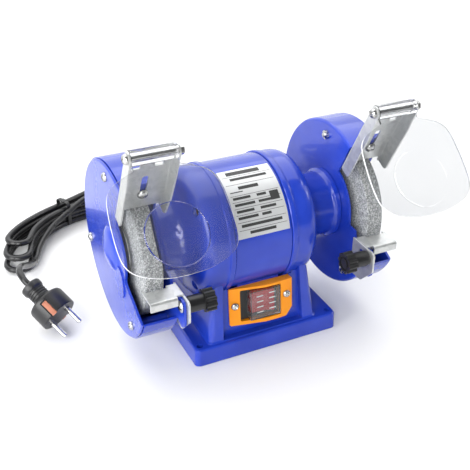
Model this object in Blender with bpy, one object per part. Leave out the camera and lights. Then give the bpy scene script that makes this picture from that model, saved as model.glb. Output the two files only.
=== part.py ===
"""Bench grinder with two 125 mm wheels, modelled as separate, jointed pieces.

Frame: X runs along the shaft, the front is -Y, Z is up. The origin is the centre of the base's underside.
Dimensions below are in millimetres; the helpers scale them to metres.
"""
import math

import bmesh
import bpy
from mathutils import Matrix, Vector

MM = 0.001
GAP = 0.3                    # clearance between pieces that touch

# Base casting
BASE_LENGTH = 146.0
BASE_DEPTH = 130.0
PLINTH_HEIGHT = 17.6
PEDESTAL_X = -3.0            # the motor and pedestal stand slightly left of the wheels' middle
PEDESTAL_TOP_Z = 76.0
FIXING_HOLE = (66.5, 57.5)   # distance of the bench holes from the centre, along X and Y
FIXING_HOLE_R = 2.7

# Shaft line
SHAFT_Z = 102.7
SHAFT_R = 6.35               # wheel seats, 12.7 mm bore
WHEEL_R = 62.5
WHEEL_WIDTH = 16.0
WHEEL_X = 107.8              # distance of each wheel's middle from the base's middle

# Motor
MOTOR_X = -4.5
STACK_HALF = 14.0            # stator and rotor laminations
TUBE_HALF = 27.5
TUBE_R = 59.8
BELL_LIP_R = 61.3

# Wheel guards
WALL_X = 90.6                # motor side of the guard's inner wall
WALL = 2.0
GUARD_R = 81.0
GUARD_DEPTH = 31.4           # from the wall's motor side to the edge that the cover closes
OPEN_TOP = 63.0              # the guard's opening, degrees above the front horizontal
OPEN_BOTTOM = -26.0
COVER_R = 79.5
COVER_SCREWS = (92.0, 199.0, -50.0)
COVER_SCREW_R = 69.0

# Spark arrestor bracket: it leans forward, u runs up along it and n forward, from the shaft's axis
LEAN = 27.3
BRACKET_HALF = 20.5
SHEET = 1.5
WEB_N = 3.6
BRACKET_SCREW_U = 82.5
HINGE_U = 138.0
HINGE_N = 10.0

# Eye shield
SHIELD_DOWN = 45.0           # how far below horizontal the shield hangs at rest
LENS_S = 63.0                # distance of the lens from the hinge
LENS_R = 25.0

# Tool rest
REST_Z = 94.5
REST_BOLT = (-82.0, 85.0)    # Y and Z of the clamping bolt

# Switch, built on a panel that leans back
PANEL = (-3.0, -50.5, 47.0)
PANEL_LEAN = 6.0
PANEL_SCREWS = ((-27.0, 0.5), (22.8, 3.0))
ROCKER_PIVOT = (0.6, -1.5)
ROCKER_TRAVEL = 20.0

# Cord: its lead from the gland to the hank, and from the hank to the plug, X, Y and Z by hand
CORD_R = 3.25
GLAND = (-25.0, 59.7, 32.0)
GLAND_LENGTH = 28.0
LEAD_FROM_GLAND = ((-25, 88, 32), (-25, 98, 31.5), (-25, 110, 27), (-24.5, 122, 18), (-23, 136, 8.5),
                   (-20, 151, 4.2), (-15.5, 168, 3.6), (-10.5, 188, 3.6), (-7.5, 208, 3.6), (-7, 226, 3.6),
                   (-10, 241, 3.6), (-19, 254, 4.2), (-33.4, 259.8, 5))
LEAD_TO_PLUG = ((-121, 220, 17), (-131, 212.5, 14.5), (-140, 203, 12), (-148, 192, 10.5), (-155, 179, 9.8),
                (-159.8, 166, 10.2), (-165.3, 151.5, 13.4), (-171.5, 138, 19.2), (-178, 125, 27), (-184, 113, 35),
                (-189, 101, 41), (-191.5, 90, 43), (-190, 79.8, 40.2), (-186.7, 73.8, 36.6))
HANK_LINE = ((-180, 168, 16), (-171, 192, 15), (-156, 212, 12), (-134, 229, 9.6), (-109, 241, 9),
             (-82, 250, 12.5), (-54, 255, 20))
HANK_BOTTOM = 1.6
HANK_TOP = 28.8
TIE_AT = (-109.0, 241.0)
PLUG_FACE = (-167.9, 41.2, 16.9)
PLUG_HEADING = -60.0         # direction of the pins in plan, degrees from +X
PLUG_DIP = 28.0
PLUG_ROLL = 40.0
PLUG_R = 18.4
PIN_OFFSET = 9.5

MATERIALS = {
    "blue_casting": ((0.012, 0.035, 0.36), 0.28, 0.0),
    "blue_paint": ((0.012, 0.035, 0.36), 0.28, 0.0),
    "zinc_plate": ((0.62, 0.63, 0.62), 0.32, 1.0),
    "bright_steel": ((0.70, 0.70, 0.70), 0.22, 1.0),
    "grey_stone": ((0.34, 0.35, 0.35), 0.95, 0.0),
    "clear_plastic": ((0.85, 0.88, 0.90), 0.06, 0.0),
    "orange_plastic": ((0.90, 0.34, 0.015), 0.42, 0.0),
    "black_plastic": ((0.015, 0.015, 0.016), 0.45, 0.0),
    "red_plastic": ((0.50, 0.02, 0.03), 0.30, 0.0),
    "black_rubber": ((0.02, 0.02, 0.022), 0.55, 0.0),
    "label_foil": ((0.55, 0.56, 0.57), 0.35, 0.6),
    "lamination": ((0.30, 0.31, 0.33), 0.45, 1.0),
    "copper": ((0.65, 0.28, 0.12), 0.35, 1.0),
    "brass": ((0.75, 0.60, 0.28), 0.25, 1.0),
    "white_plastic": ((0.80, 0.80, 0.78), 0.40, 0.0),
}


# ---------------------------------------------------------------- helpers

def material(name):
    """The Principled material of that name, made on first use."""
    found = bpy.data.materials.get(name)
    if found:
        return found
    colour, roughness, metallic = MATERIALS[name]
    made = bpy.data.materials.new(name)
    made.use_nodes = True
    shader = made.node_tree.nodes["Principled BSDF"]
    shader.inputs["Base Color"].default_value = (*colour, 1.0)
    shader.inputs["Roughness"].default_value = roughness
    shader.inputs["Metallic"].default_value = metallic
    made.diffuse_color = (*colour, 1.0)
    return made


def add_object(name, bm, finish, at=(0, 0, 0), tilt=0.0):
    """Link a bmesh drawn in millimetres as an object at a place, tilted about X by degrees."""
    bmesh.ops.remove_doubles(bm, verts=bm.verts, dist=0.001)
    bmesh.ops.recalc_face_normals(bm, faces=bm.faces)
    bmesh.ops.scale(bm, vec=(MM, MM, MM), verts=bm.verts)
    mesh = bpy.data.meshes.new(name)
    bm.to_mesh(mesh)
    bm.free()
    mesh.shade_smooth()
    mesh.set_sharp_from_angle(angle=math.radians(35))
    obj = bpy.data.objects.new(name, mesh)
    obj.data.materials.append(material(finish))
    obj.location = Vector(at) * MM
    obj.rotation_euler = (math.radians(tilt), 0, 0)
    bpy.context.collection.objects.link(obj)
    return obj


def combine(target, tool, operation):
    """Join a tool to a target, or cut the target with it, and delete the tool."""
    step = target.modifiers.new(operation, "BOOLEAN")
    step.operation = operation
    step.solver = "EXACT"
    step.object = tool
    bpy.context.view_layer.update()
    graph = bpy.context.evaluated_depsgraph_get()
    mesh = bpy.data.meshes.new_from_object(target.evaluated_get(graph), depsgraph=graph)
    target.modifiers.clear()
    old = target.data
    target.data = mesh
    mesh.name = target.name
    bpy.data.meshes.remove(old)
    mesh.shade_smooth()
    mesh.set_sharp_from_angle(angle=math.radians(35))
    bpy.data.objects.remove(tool)


def cut(target, *tools):
    for tool in tools:
        combine(target, tool, "DIFFERENCE")


def join(target, *tools):
    for tool in tools:
        combine(target, tool, "UNION")


def polar(radius, degrees):
    """A point of the YZ plane about the shaft: 0 degrees is the front, 90 is straight up."""
    angle = math.radians(degrees)
    return (-radius * math.cos(angle), radius * math.sin(angle))


def arc(centre, radius, start, end, steps):
    """Points of a circle from one angle to another, both included."""
    points = []
    for i in range(steps + 1):
        angle = math.radians(start + (end - start) * i / steps)
        points.append((centre[0] + radius * math.cos(angle), centre[1] + radius * math.sin(angle)))
    return points


def rounded_rectangle(half_x, half_y, corner, steps=3, centre=(0, 0)):
    cx, cy = centre
    points = []
    for sx, sy, start in ((1, 1, 0), (-1, 1, 90), (-1, -1, 180), (1, -1, 270)):
        middle = (cx + sx * (half_x - corner), cy + sy * (half_y - corner))
        points += arc(middle, corner, start, start + 90, steps)
    return points


def notched_rectangle(half_x, half_y, notch):
    """A rectangle with a square bite out of each corner."""
    x, y = half_x, half_y
    return [(x, -y + notch), (x, y - notch), (x - notch, y - notch), (x - notch, y),
            (-x + notch, y), (-x + notch, y - notch), (-x, y - notch), (-x, -y + notch),
            (-x + notch, -y + notch), (-x + notch, -y), (x - notch, -y), (x - notch, -y + notch)]


def loft(name, sections, finish, at=(0, 0, 0), tilt=0.0):
    """A closed solid through loops of 3-D points that all have the same count."""
    bm = bmesh.new()
    rings = [[bm.verts.new(point) for point in section] for section in sections]
    count = len(rings[0])
    for lower, upper in zip(rings, rings[1:]):
        for i in range(count):
            j = (i + 1) % count
            bm.faces.new((lower[i], lower[j], upper[j], upper[i]))
    bm.faces.new(rings[0])
    bm.faces.new(rings[-1])
    return add_object(name, bm, finish, at, tilt)


def prism(name, outline, low, high, finish, axis="X", at=(0, 0, 0), tilt=0.0):
    """An outline extruded from low to high; on X the outline is (y, z), on Y (x, z), on Z (x, y)."""
    def place(a, b, depth):
        return {"X": (depth, a, b), "Y": (a, depth, b), "Z": (a, b, depth)}[axis]
    sections = [[place(a, b, depth) for a, b in outline] for depth in (low, high)]
    return loft(name, sections, finish, at, tilt)


def block(name, low, high, finish, at=(0, 0, 0), tilt=0.0):
    outline = [(low[0], low[1]), (high[0], low[1]), (high[0], high[1]), (low[0], high[1])]
    return prism(name, outline, low[2], high[2], finish, "Z", at, tilt)


def turned(name, profile, finish, steps=40, at=(0, 0, SHAFT_Z), tilt=0.0, side=1):
    """A profile of (x, radius) points turned about the X axis; side=-1 mirrors it to -X."""
    bm = bmesh.new()
    rings = []
    for x, radius in profile:
        if radius < 1e-6:
            rings.append([bm.verts.new((side * x, 0, 0))])
            continue
        ring = []
        for i in range(steps):
            y, z = polar(radius, 360.0 * i / steps)
            ring.append(bm.verts.new((side * x, y, z)))
        rings.append(ring)
    for a, b in zip(rings, rings[1:] + rings[:1]):
        if len(a) == 1 and len(b) == 1:
            continue
        for i in range(steps):
            j = (i + 1) % steps
            if len(a) == 1:
                bm.faces.new((a[0], b[j], b[i]))
            elif len(b) == 1:
                bm.faces.new((a[i], a[j], b[0]))
            else:
                bm.faces.new((a[i], a[j], b[j], b[i]))
    return add_object(name, bm, finish, at, tilt)


def smooth(points, per_stretch):
    """A smooth curve through the points, as the mean of the two parabolas through each stretch's ends."""
    padded = [Vector(points[0]) * 2 - Vector(points[1])]
    padded += [Vector(point) for point in points]
    padded += [Vector(points[-1]) * 2 - Vector(points[-2])]
    curve = []
    for a, b, c, d in zip(padded, padded[1:], padded[2:], padded[3:]):
        for i in range(per_stretch):
            t = i / per_stretch
            curve.append(((b * 2) + (c - a) * t + (a * 2 - b * 5 + c * 4 - d) * t * t
                          + (b * 3 - a - c * 3 + d) * t ** 3) / 2)
    curve.append(padded[-2])
    return curve


def tube(name, points, radius, finish):
    """A cord's stretch: a bevelled curve with filled caps along a smooth line."""
    data = bpy.data.curves.new(name, "CURVE")
    data.dimensions = "3D"
    data.bevel_depth = radius * MM
    data.bevel_resolution = 3
    data.use_fill_caps = True
    line = smooth(points, 2)
    spline = data.splines.new("POLY")
    spline.points.add(len(line) - 1)
    for place, point in zip(spline.points, line):
        place.co = (*(point * MM), 1.0)
    obj = bpy.data.objects.new(name, data)
    obj.data.materials.append(material(finish))
    bpy.context.collection.objects.link(obj)
    return obj


def rod(name, radius, low, high, finish, axis="X", centre=(0, 0), steps=16, at=(0, 0, 0), tilt=0.0):
    """A cylinder along an axis; centre is given as for prism."""
    return prism(name, arc(centre, radius, 0, 360 - 360 / steps, steps - 1), low, high, finish, axis, at, tilt)


# ---------------------------------------------------------------- base and motor

def make_base():
    """Hollow cast base: a plinth, a tapered pedestal with two front ribs, and a saddle for the motor."""
    cast = "blue_casting"
    half_x, half_y = BASE_LENGTH / 2, BASE_DEPTH / 2
    levels = ((0, 0.0), (PLINTH_HEIGHT - 2.0, 0.3), (PLINTH_HEIGHT - 0.6, 0.9), (PLINTH_HEIGHT, 2.2))
    base = loft("base", [[(x, y, z) for x, y in rounded_rectangle(half_x - inset, half_y - inset, 4.0)]
                         for z, inset in levels], cast)

    def pedestal_section(z, inset, front=0.0):
        rise = (z - PLINTH_HEIGHT) / (PEDESTAL_TOP_Z - PLINTH_HEIGHT)
        wide = 55.0 - 7.5 * rise - inset
        deep = 60.0 - 8.0 * rise - inset - front
        corner = max(4.0 - inset, 1.0)
        return [(x, y, z) for x, y in rounded_rectangle(wide, deep, corner, 2, (PEDESTAL_X, front))]

    join(base, loft("pedestal", [pedestal_section(z, 0) for z in (10.0, PEDESTAL_TOP_Z)], cast))
    cut(base, rod("saddle", TUBE_R + 0.5, -90, 90, cast, "X", (0, SHAFT_Z), 56))
    for seam in (MOTOR_X - TUBE_HALF, MOTOR_X + TUBE_HALF):
        cut(base, rod("lip_groove", BELL_LIP_R + 0.4, seam - 7, seam + 7, cast, "X", (0, SHAFT_Z), 56))

    hollow = loft("hollow", [pedestal_section(z, 4.0, 3.0) for z in (10.0, PEDESTAL_TOP_Z - 4)], cast)
    cut(hollow, rod("saddle_wall", BELL_LIP_R + 4.0, -90, 90, cast, "X", (0, SHAFT_Z), 56))
    cut(base, hollow)
    cut(base, prism("underside", notched_rectangle(half_x - 4, half_y - 4, 13.0), -1, 13.6, cast, "Z"))
    cut(base, block("motor_opening", (-34, -38, 30), (26, 30, 60), cast))

    front = [(-40.5, -29.4), (40.5, -29.4), (38.0, 34.0), (-38.0, 34.0)]
    cut(base, prism("panel_recess", front, -20.0, 0.0, cast, "Y", PANEL, -PANEL_LEAN))
    cut(base, block("switch_opening", (-20.5, -5, -14.0), (15.7, 5.2, 13.4), cast, PANEL, -PANEL_LEAN))
    cut(base, block("switch_space", (-20.5, 4, -14.0), (15.7, 14, 8.6), cast, PANEL, -PANEL_LEAN))
    for where in PANEL_SCREWS:
        cut(base, rod("bezel_hole", 2.0, -3, 12, cast, "Y", where, 12, PANEL, -PANEL_LEAN))
    for sx in (-1, 1):
        for sy in (-1, 1):
            where = (sx * FIXING_HOLE[0], sy * FIXING_HOLE[1])
            cut(base, rod("fixing_hole", FIXING_HOLE_R, -2, 30, cast, "Z", where, 14))
    cut(base, rod("gland_hole", 5.6, 40, 75, cast, "Y", (GLAND[0], GLAND[2]), 16))
    return base


def make_base_plate():
    """Steel plate that closes the underside."""
    outline = notched_rectangle(BASE_LENGTH / 2 - 4.5, BASE_DEPTH / 2 - 4.5, 13.5)
    prism("base_plate", outline, 0, 1.5, "zinc_plate", "Z")


def make_motor():
    """Motor tube, two end bells, stator, windings and bearings, from left to right."""
    wall = 3.3
    turned("motor_tube", [(x, r) for x, r in ((-TUBE_HALF, TUBE_R), (TUBE_HALF, TUBE_R),
                                              (TUBE_HALF, TUBE_R - wall), (-TUBE_HALF, TUBE_R - wall))],
           "blue_paint", 56, (MOTOR_X, 0, SHAFT_Z))
    core = STACK_HALF
    turned("stator_core", [(-core, 56.2), (core, 56.2), (core, 31.0), (-core, 31.0)],
           "lamination", 40, (MOTOR_X, 0, SHAFT_Z))
    for side, word in ((-1, "left"), (1, "right")):
        seam = TUBE_HALF + side * MOTOR_X + GAP
        end = WALL_X - GAP
        bell = [(seam, BELL_LIP_R), (seam + 5, BELL_LIP_R), (seam + 5.8, 60.0), (seam + 17, 59.9),
                (seam + 22.5, 58.6), (seam + 26.5, 55.4), (seam + 29, 50.5), (seam + 30.5, 44.0),
                (seam + 33, 37.5), (seam + 37, 33.0), (seam + 42, 30.8), (end - 7, 30.6),
                (end - 4.5, 33.5), (end, 33.5), (end, 10.0), (seam + 31.3, 10.0), (seam + 31.3, 17.5),
                (seam + 19.7, 17.5), (seam + 19.7, 21.0), (seam + 27.0, 23.0), (seam + 27.4, 44.0),
                (seam + 24, 52.0), (seam + 16, 56.5), (seam, 56.5)]
        turned(f"end_bell_{word}", bell, "blue_casting", 36, side=side)
        turned(f"bearing_{word}", [(seam + 20, 17.2), (seam + 31, 17.2), (seam + 31, 7.8), (seam + 20, 7.8)],
               "bright_steel", 24, side=side)
        start = core + side * MOTOR_X + GAP
        turned(f"winding_{word}", [(start, 48.0), (start + 3, 51.0), (start + 13, 50.0), (start + 16, 46.0),
                                   (start + 16, 39.0), (start + 12, 36.0), (start, 33.0)],
               "copper", 24, side=side)


def make_label():
    """Blank rating plate, a foil bent round the motor tube."""
    outline = [polar(TUBE_R + GAP, a) for a in range(16, 80, 7)]
    outline += [polar(TUBE_R + GAP + 0.4, a) for a in range(79, 15, -7)]
    prism("rating_plate", outline, -29.5, 20.7, "label_foil", "X", (0, 0, SHAFT_Z))


def make_rotor():
    """Everything that spins: shaft, rotor core, flanges, wheels and nuts."""
    core = STACK_HALF
    shaft = []
    for side in (1, -1):
        seam = TUBE_HALF + side * MOTOR_X + GAP
        end = [(seam + 12, 8.0), (seam + 12, 9.5), (seam + 19.7, 9.5), (seam + 19.7, 7.5),
               (seam + 31.6, 7.5), (seam + 31.6, 7.0), (94.9, 7.0), (94.9, SHAFT_R), (117.0, SHAFT_R),
               (117.0, 5.8), (126.0, 5.8), (126.8, 5.0), (126.8, 0.0)]
        shaft.append([(side * x, r) for x, r in end])
    turned("shaft", shaft[0][::-1] + shaft[1], "bright_steel", 16)
    turned("rotor_core", [(MOTOR_X - core, 30.4), (MOTOR_X + core, 30.4), (MOTOR_X + core, 8.3),
                          (MOTOR_X - core, 8.3)], "lamination", 40)
    inner = WHEEL_X - WHEEL_WIDTH / 2
    outer = WHEEL_X + WHEEL_WIDTH / 2
    bore = SHAFT_R + GAP
    for side, word in ((-1, "left"), (1, "right")):
        turned(f"wheel_{word}", [(inner, WHEEL_R - 0.8), (inner + 0.8, WHEEL_R), (outer - 0.8, WHEEL_R),
                                 (outer, WHEEL_R - 0.8), (outer, bore), (inner, bore)],
               "grey_stone", 56, side=side)
        turned(f"inner_flange_{word}", [(inner - GAP, 30.0), (inner - GAP, 22.0), (inner - 1.3, 21.0),
                                        (inner - 1.3, bore), (inner - 4.6, bore), (inner - 4.6, 12.0),
                                        (inner - 3.2, 14.0), (inner - 2.6, 30.0)],
               "bright_steel", 28, side=side)
        turned(f"outer_flange_{word}", [(outer + GAP, 28.0), (outer + 2.2, 27.5), (outer + 3.5, 14.0),
                                        (outer + 3.5, bore), (outer + 1.5, bore), (outer + 1.5, 19.0),
                                        (outer + GAP, 20.5)],
               "bright_steel", 28, side=side)
        nut = prism(f"wheel_nut_{word}", arc((0, 0), 10.2, 0, 300, 5), side * (outer + 3.8),
                    side * (outer + 10.4), "zinc_plate", "X", (0, 0, SHAFT_Z))
        cut(nut, rod("thread", 6.1, side * (outer + 2), side * (outer + 14), "zinc_plate", "X", (0, 0), 16,
                     (0, 0, SHAFT_Z)))


# ---------------------------------------------------------------- wheel guards

def guard_sweep(radius, steps):
    """Arc of the guard from the top of its opening, over the back, to the opening's bottom."""
    return [polar(radius, OPEN_TOP + (360 + OPEN_BOTTOM - OPEN_TOP) * i / steps) for i in range(steps + 1)]


def make_guard_housing(side, word):
    """Inner wall with the tool rest's tab, the wrapper round the wheel, screw columns and the top tab."""
    name = f"guard_housing_{word}"
    shaft = (0, 0, SHAFT_Z)
    low, high = WALL_X, WALL_X + GUARD_DEPTH
    tab_y, tab_top, tab_bottom = -88.0, -11.0, -39.0
    outline = guard_sweep(GUARD_R, 44)
    outline += [(-82.0, tab_bottom), (tab_y + 1.5, tab_bottom + 2.5), (tab_y, tab_bottom + 7)]
    outline += [(tab_y, tab_top - 5), (tab_y + 1.5, tab_top - 1.5), (tab_y + 5, tab_top)]
    outline += [(-57.5, tab_top), (-56.0, tab_top + 7.0), (-46.0, tab_top + 7.5)]
    outline += [polar(46.0, a) for a in range(4, 64, 10)] + [polar(46.0, OPEN_TOP)]
    housing = prism(name, outline, side * low, side * (low + WALL), "blue_paint", "X", shaft)

    band = guard_sweep(GUARD_R, 44) + guard_sweep(GUARD_R - WALL, 44)[::-1]
    join(housing, prism("wrapper", band, side * (low + WALL / 2), side * high, "blue_paint", "X", shaft))
    for degrees in COVER_SCREWS:
        where = polar(COVER_SCREW_R, degrees)
        join(housing, rod("column", 4.0, side * (low + WALL / 2), side * high, "blue_paint", "X", where, 14, shaft))
    join(housing, block("bracket_tab", (side * WHEEL_X - 13, -3.2, 78.0), (side * WHEEL_X + 13, 1.0, 93.0),
                        "blue_paint", shaft, LEAN))

    cut(housing, rod("shaft_hole", 20.0, side * (low - 5), side * (low + 6), "blue_paint", "X", (0, 0), 28, shaft))
    for degrees in COVER_SCREWS:
        where = polar(COVER_SCREW_R, degrees)
        cut(housing, rod("screw_hole", 2.3, side * (low - 5), side * (high + 5), "blue_paint", "X", where, 10, shaft))
    rest_hole = (REST_BOLT[0], REST_BOLT[1] - SHAFT_Z)
    cut(housing, rod("rest_hole", 3.3, side * (low - 5), side * (low + 6), "blue_paint", "X", rest_hole, 14, shaft))
    cut(housing, rod("bracket_hole", 2.3, -10, 6, "blue_paint", "Y", (side * WHEEL_X, BRACKET_SCREW_U), 10,
                     shaft, LEAN))


def make_guard_cover(side, word):
    """Outer cover: a disc with a hub dome, cut away at the front."""
    face = WALL_X + GUARD_DEPTH + GAP
    thick = 2.1
    shaft = (0, 0, SHAFT_Z)
    profile = [(face, COVER_R), (face + 0.8, COVER_R + 0.6), (face + thick, COVER_R - 0.6),
               (face + thick, 27.0), (face + 3.6, 24.5), (face + 6.6, 15.0), (face + 8.2, 8.0), (face + 8.7, 0.0),
               (face + 6.9, 0.0), (face + 6.4, 8.0), (face + 4.9, 14.5), (face + 2.0, 23.4), (face, 26.0)]
    cover = turned(f"guard_cover_{word}", profile, "blue_paint", 56, side=side)
    window = [polar(36.0, a) for a in range(-20, 60, 8)]
    window += [polar(38.0, OPEN_TOP - 3), polar(42.0, OPEN_TOP), polar(100.0, OPEN_TOP)]
    window += [polar(110.0, 20.0), polar(100.0, OPEN_BOTTOM), polar(42.0, OPEN_BOTTOM), polar(38.0, OPEN_BOTTOM + 2.5)]
    cut(cover, prism("window", window, side * (face - 5), side * (face + 20), "blue_paint", "X", shaft))
    for number, degrees in enumerate(COVER_SCREWS, 1):
        where = polar(COVER_SCREW_R, degrees)
        cut(cover, rod("screw_hole", 2.3, side * (face - 5), side * (face + 5), "blue_paint", "X", where, 10, shaft))
        middle = (0, where[0], SHAFT_Z + where[1])
        turned(f"cover_screw_{word}_{number}",
               [(face + thick + GAP, 4.2), (face + thick + 1.6, 4.0), (face + thick + 2.8, 2.2),
                (face + thick + 3.0, 0.0), (86.0, 0.0), (86.0, 2.0), (face + thick + GAP, 2.0)],
               "zinc_plate", 12, middle, side=side)


# ---------------------------------------------------------------- tool rests

def make_tool_rest(side, word):
    """Bent sheet rest with a slotted side flange, its carriage bolt and its clamping knob."""
    sheet = 1.8
    near = WALL_X - GAP - 0.1 - sheet
    bolt_y, bolt_z = REST_BOLT
    centre = side * WHEEL_X
    plate_end = WHEEL_X + 11.7

    flange = [(-58.0, REST_Z), (-89.5, REST_Z), (-92.0, REST_Z - 2.5), (-92.0, 74.0), (-75.0, 56.5), (-58.0, 56.5)]
    rest = prism(f"tool_rest_{word}", flange, side * near, side * (near + sheet), "zinc_plate", "X")
    top = [(near, -61.5), (WHEEL_X - 9.5, -61.5), (WHEEL_X - 9.5, -64.5), (WHEEL_X + 9.5, -64.5),
           (WHEEL_X + 9.5, -61.5), (plate_end, -61.5), (plate_end, -83.0), (95.5, -83.0), (95.5, -79.0),
           (near, -79.0)]
    join(rest, prism("plate", [(side * x, y) for x, y in top], REST_Z - sheet, REST_Z, "zinc_plate", "Z"))
    join(rest, block("lip", (min(side * 95.5, side * plate_end), -83.0, 86.3),
                     (max(side * 95.5, side * plate_end), -83.0 + sheet, REST_Z - 0.5), "zinc_plate"))
    slot = arc((bolt_y + 10.2, bolt_z), 3.3, -90, 90, 6) + arc((bolt_y - 1.2, bolt_z), 3.3, 90, 270, 6)
    cut(rest, prism("slot", slot, side * (near - 3), side * (near + 5), "zinc_plate", "X"))

    head = WALL_X + WALL + GAP
    turned(f"rest_bolt_{word}", [(head, 5.4), (head + 1.2, 5.0), (head + 2.3, 3.0), (head + 2.6, 0.0),
                                 (68.0, 0.0), (68.0, 2.9), (head, 2.9)], "bright_steel", 16,
           (0, bolt_y, bolt_z), side=side)

    foot = near - GAP
    knob = turned(f"rest_knob_{word}", [(foot, 6.6), (foot - 2.0, 7.2), (foot - 17.0, 7.2), (foot - 17.0, 3.2),
                                        (foot, 3.2)],
                  "black_plastic", 20, (0, bolt_y, bolt_z), side=side)
    star = []
    for i in range(36):
        angle = 10.0 * i
        star.append(polar(9.3 + 0.9 * math.cos(math.radians(6 * angle)), angle))
    wheel = prism("star", star, side * (foot - 24.0), side * (foot - 16.5), "black_plastic", "X",
                  (0, bolt_y, bolt_z))
    cut(wheel, rod("blind_bore", 3.2, side * (foot - 20.6), side * (foot - 10), "black_plastic", "X", (0, 0), 20,
                   (0, bolt_y, bolt_z)))
    join(knob, wheel)


# ---------------------------------------------------------------- spark arrestors and eye shields

def make_bracket(side, word):
    """Leaning channel in front of the wheel's top, with ears for the shield's hinge, and its screw."""
    name = f"spark_arrestor_{word}"
    shaft = (0, 0, SHAFT_Z)
    centre = side * WHEEL_X
    web = [(-BRACKET_HALF, 64.6), (BRACKET_HALF, 64.6), (BRACKET_HALF, 124.0), (-BRACKET_HALF, 124.0)]
    front = -WEB_N - SHEET
    bracket = prism(name, [(centre + x, u) for x, u in web], front, -WEB_N, "zinc_plate", "Y", shaft, LEAN)
    ear_top = arc((-HINGE_N, HINGE_U), 6.0, 0, 180, 8)
    flange = [(-WEB_N, 58.5), (-WEB_N, 124.0)] + ear_top + [(-16.2, 120.0), (-17.0, 113.0), (-17.0, 61.0), (-15.5, 58.5)]
    for edge in (-1, 1):
        inside, outside = edge * (BRACKET_HALF - SHEET), edge * BRACKET_HALF
        join(bracket, prism("flange", flange, centre + inside, centre + outside, "zinc_plate", "X", shaft, LEAN))
    slot = arc((centre, BRACKET_SCREW_U - 1.7), 2.8, 180, 360, 6)
    slot += arc((centre, BRACKET_SCREW_U + 20.0), 2.8, 0, 180, 6)
    cut(bracket, prism("slot", slot, -12, 0, "zinc_plate", "Y", shaft, LEAN))
    cut(bracket, rod("pin_hole", 2.4, centre - 30, centre + 30, "zinc_plate", "X", (-HINGE_N, HINGE_U), 12,
                     shaft, LEAN))

    screw = []
    for n, radius in ((WEB_N + SHEET + GAP, 4.8), (WEB_N + SHEET + 1.8, 4.6), (WEB_N + SHEET + 3.2, 2.6),
                      (WEB_N + SHEET + 3.4, 0.6)):
        screw.append([(centre + x, -n, BRACKET_SCREW_U + z) for x, z in arc((0, 0), radius, 0, 337.5, 15)])
    shank = [[(centre + x, -n, BRACKET_SCREW_U + z) for x, z in arc((0, 0), 2.0, 0, 337.5, 15)]
             for n in (-6.0, WEB_N + SHEET + GAP)]
    loft(f"arrestor_screw_{word}", shank + screw, "zinc_plate", shaft, LEAN)


def hinge_point():
    """Y and Z of the shield's hinge axis."""
    lean = math.radians(LEAN)
    return (-HINGE_N * math.cos(lean) - HINGE_U * math.sin(lean),
            SHAFT_Z - HINGE_N * math.sin(lean) + HINGE_U * math.cos(lean))


def make_shield(side, word):
    """Clear shield with its hinge barrel and round lens, and the bolt it swings on."""
    y, z = hinge_point()
    hinge = (side * WHEEL_X, y, z)
    tilt = -SHIELD_DOWN
    half_outline = [(18.3, -2.0), (18.3, -10.5), (29.5, -14.5), (38.5, -19.5), (43.5, -28.0), (46.0, -46.0),
                    (46.5, -66.0), (44.5, -78.0), (38.0, -85.5), (27.0, -90.5), (14.0, -93.2)]
    outline = half_outline + [(0.0, -94.0)] + [(-x, s) for x, s in half_outline[::-1]]
    shield = prism(f"eye_shield_{word}", outline, -1.0, 1.0, "clear_plastic", "Y", hinge, tilt)
    join(shield, rod("barrel", 6.4, -18.6, 18.6, "clear_plastic", "X", (0, 0), 20, hinge, tilt))
    join(shield, rod("lens", LENS_R, -3.2, 0.5, "clear_plastic", "Y", (0, -LENS_S), 36, hinge, tilt))
    cut(shield, rod("bore", 2.4, -30, 30, "clear_plastic", "X", (0, 0), 12, hinge, tilt))
    turned(f"hinge_bolt_{word}", [(-24.6, 0.0), (-24.2, 2.6), (-23.0, 4.2), (-20.8, 4.4), (-20.8, 2.0),
                                  (25.0, 2.0), (25.0, 0.0)], "zinc_plate", 16, hinge)


# ---------------------------------------------------------------- switch and wiring

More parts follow.
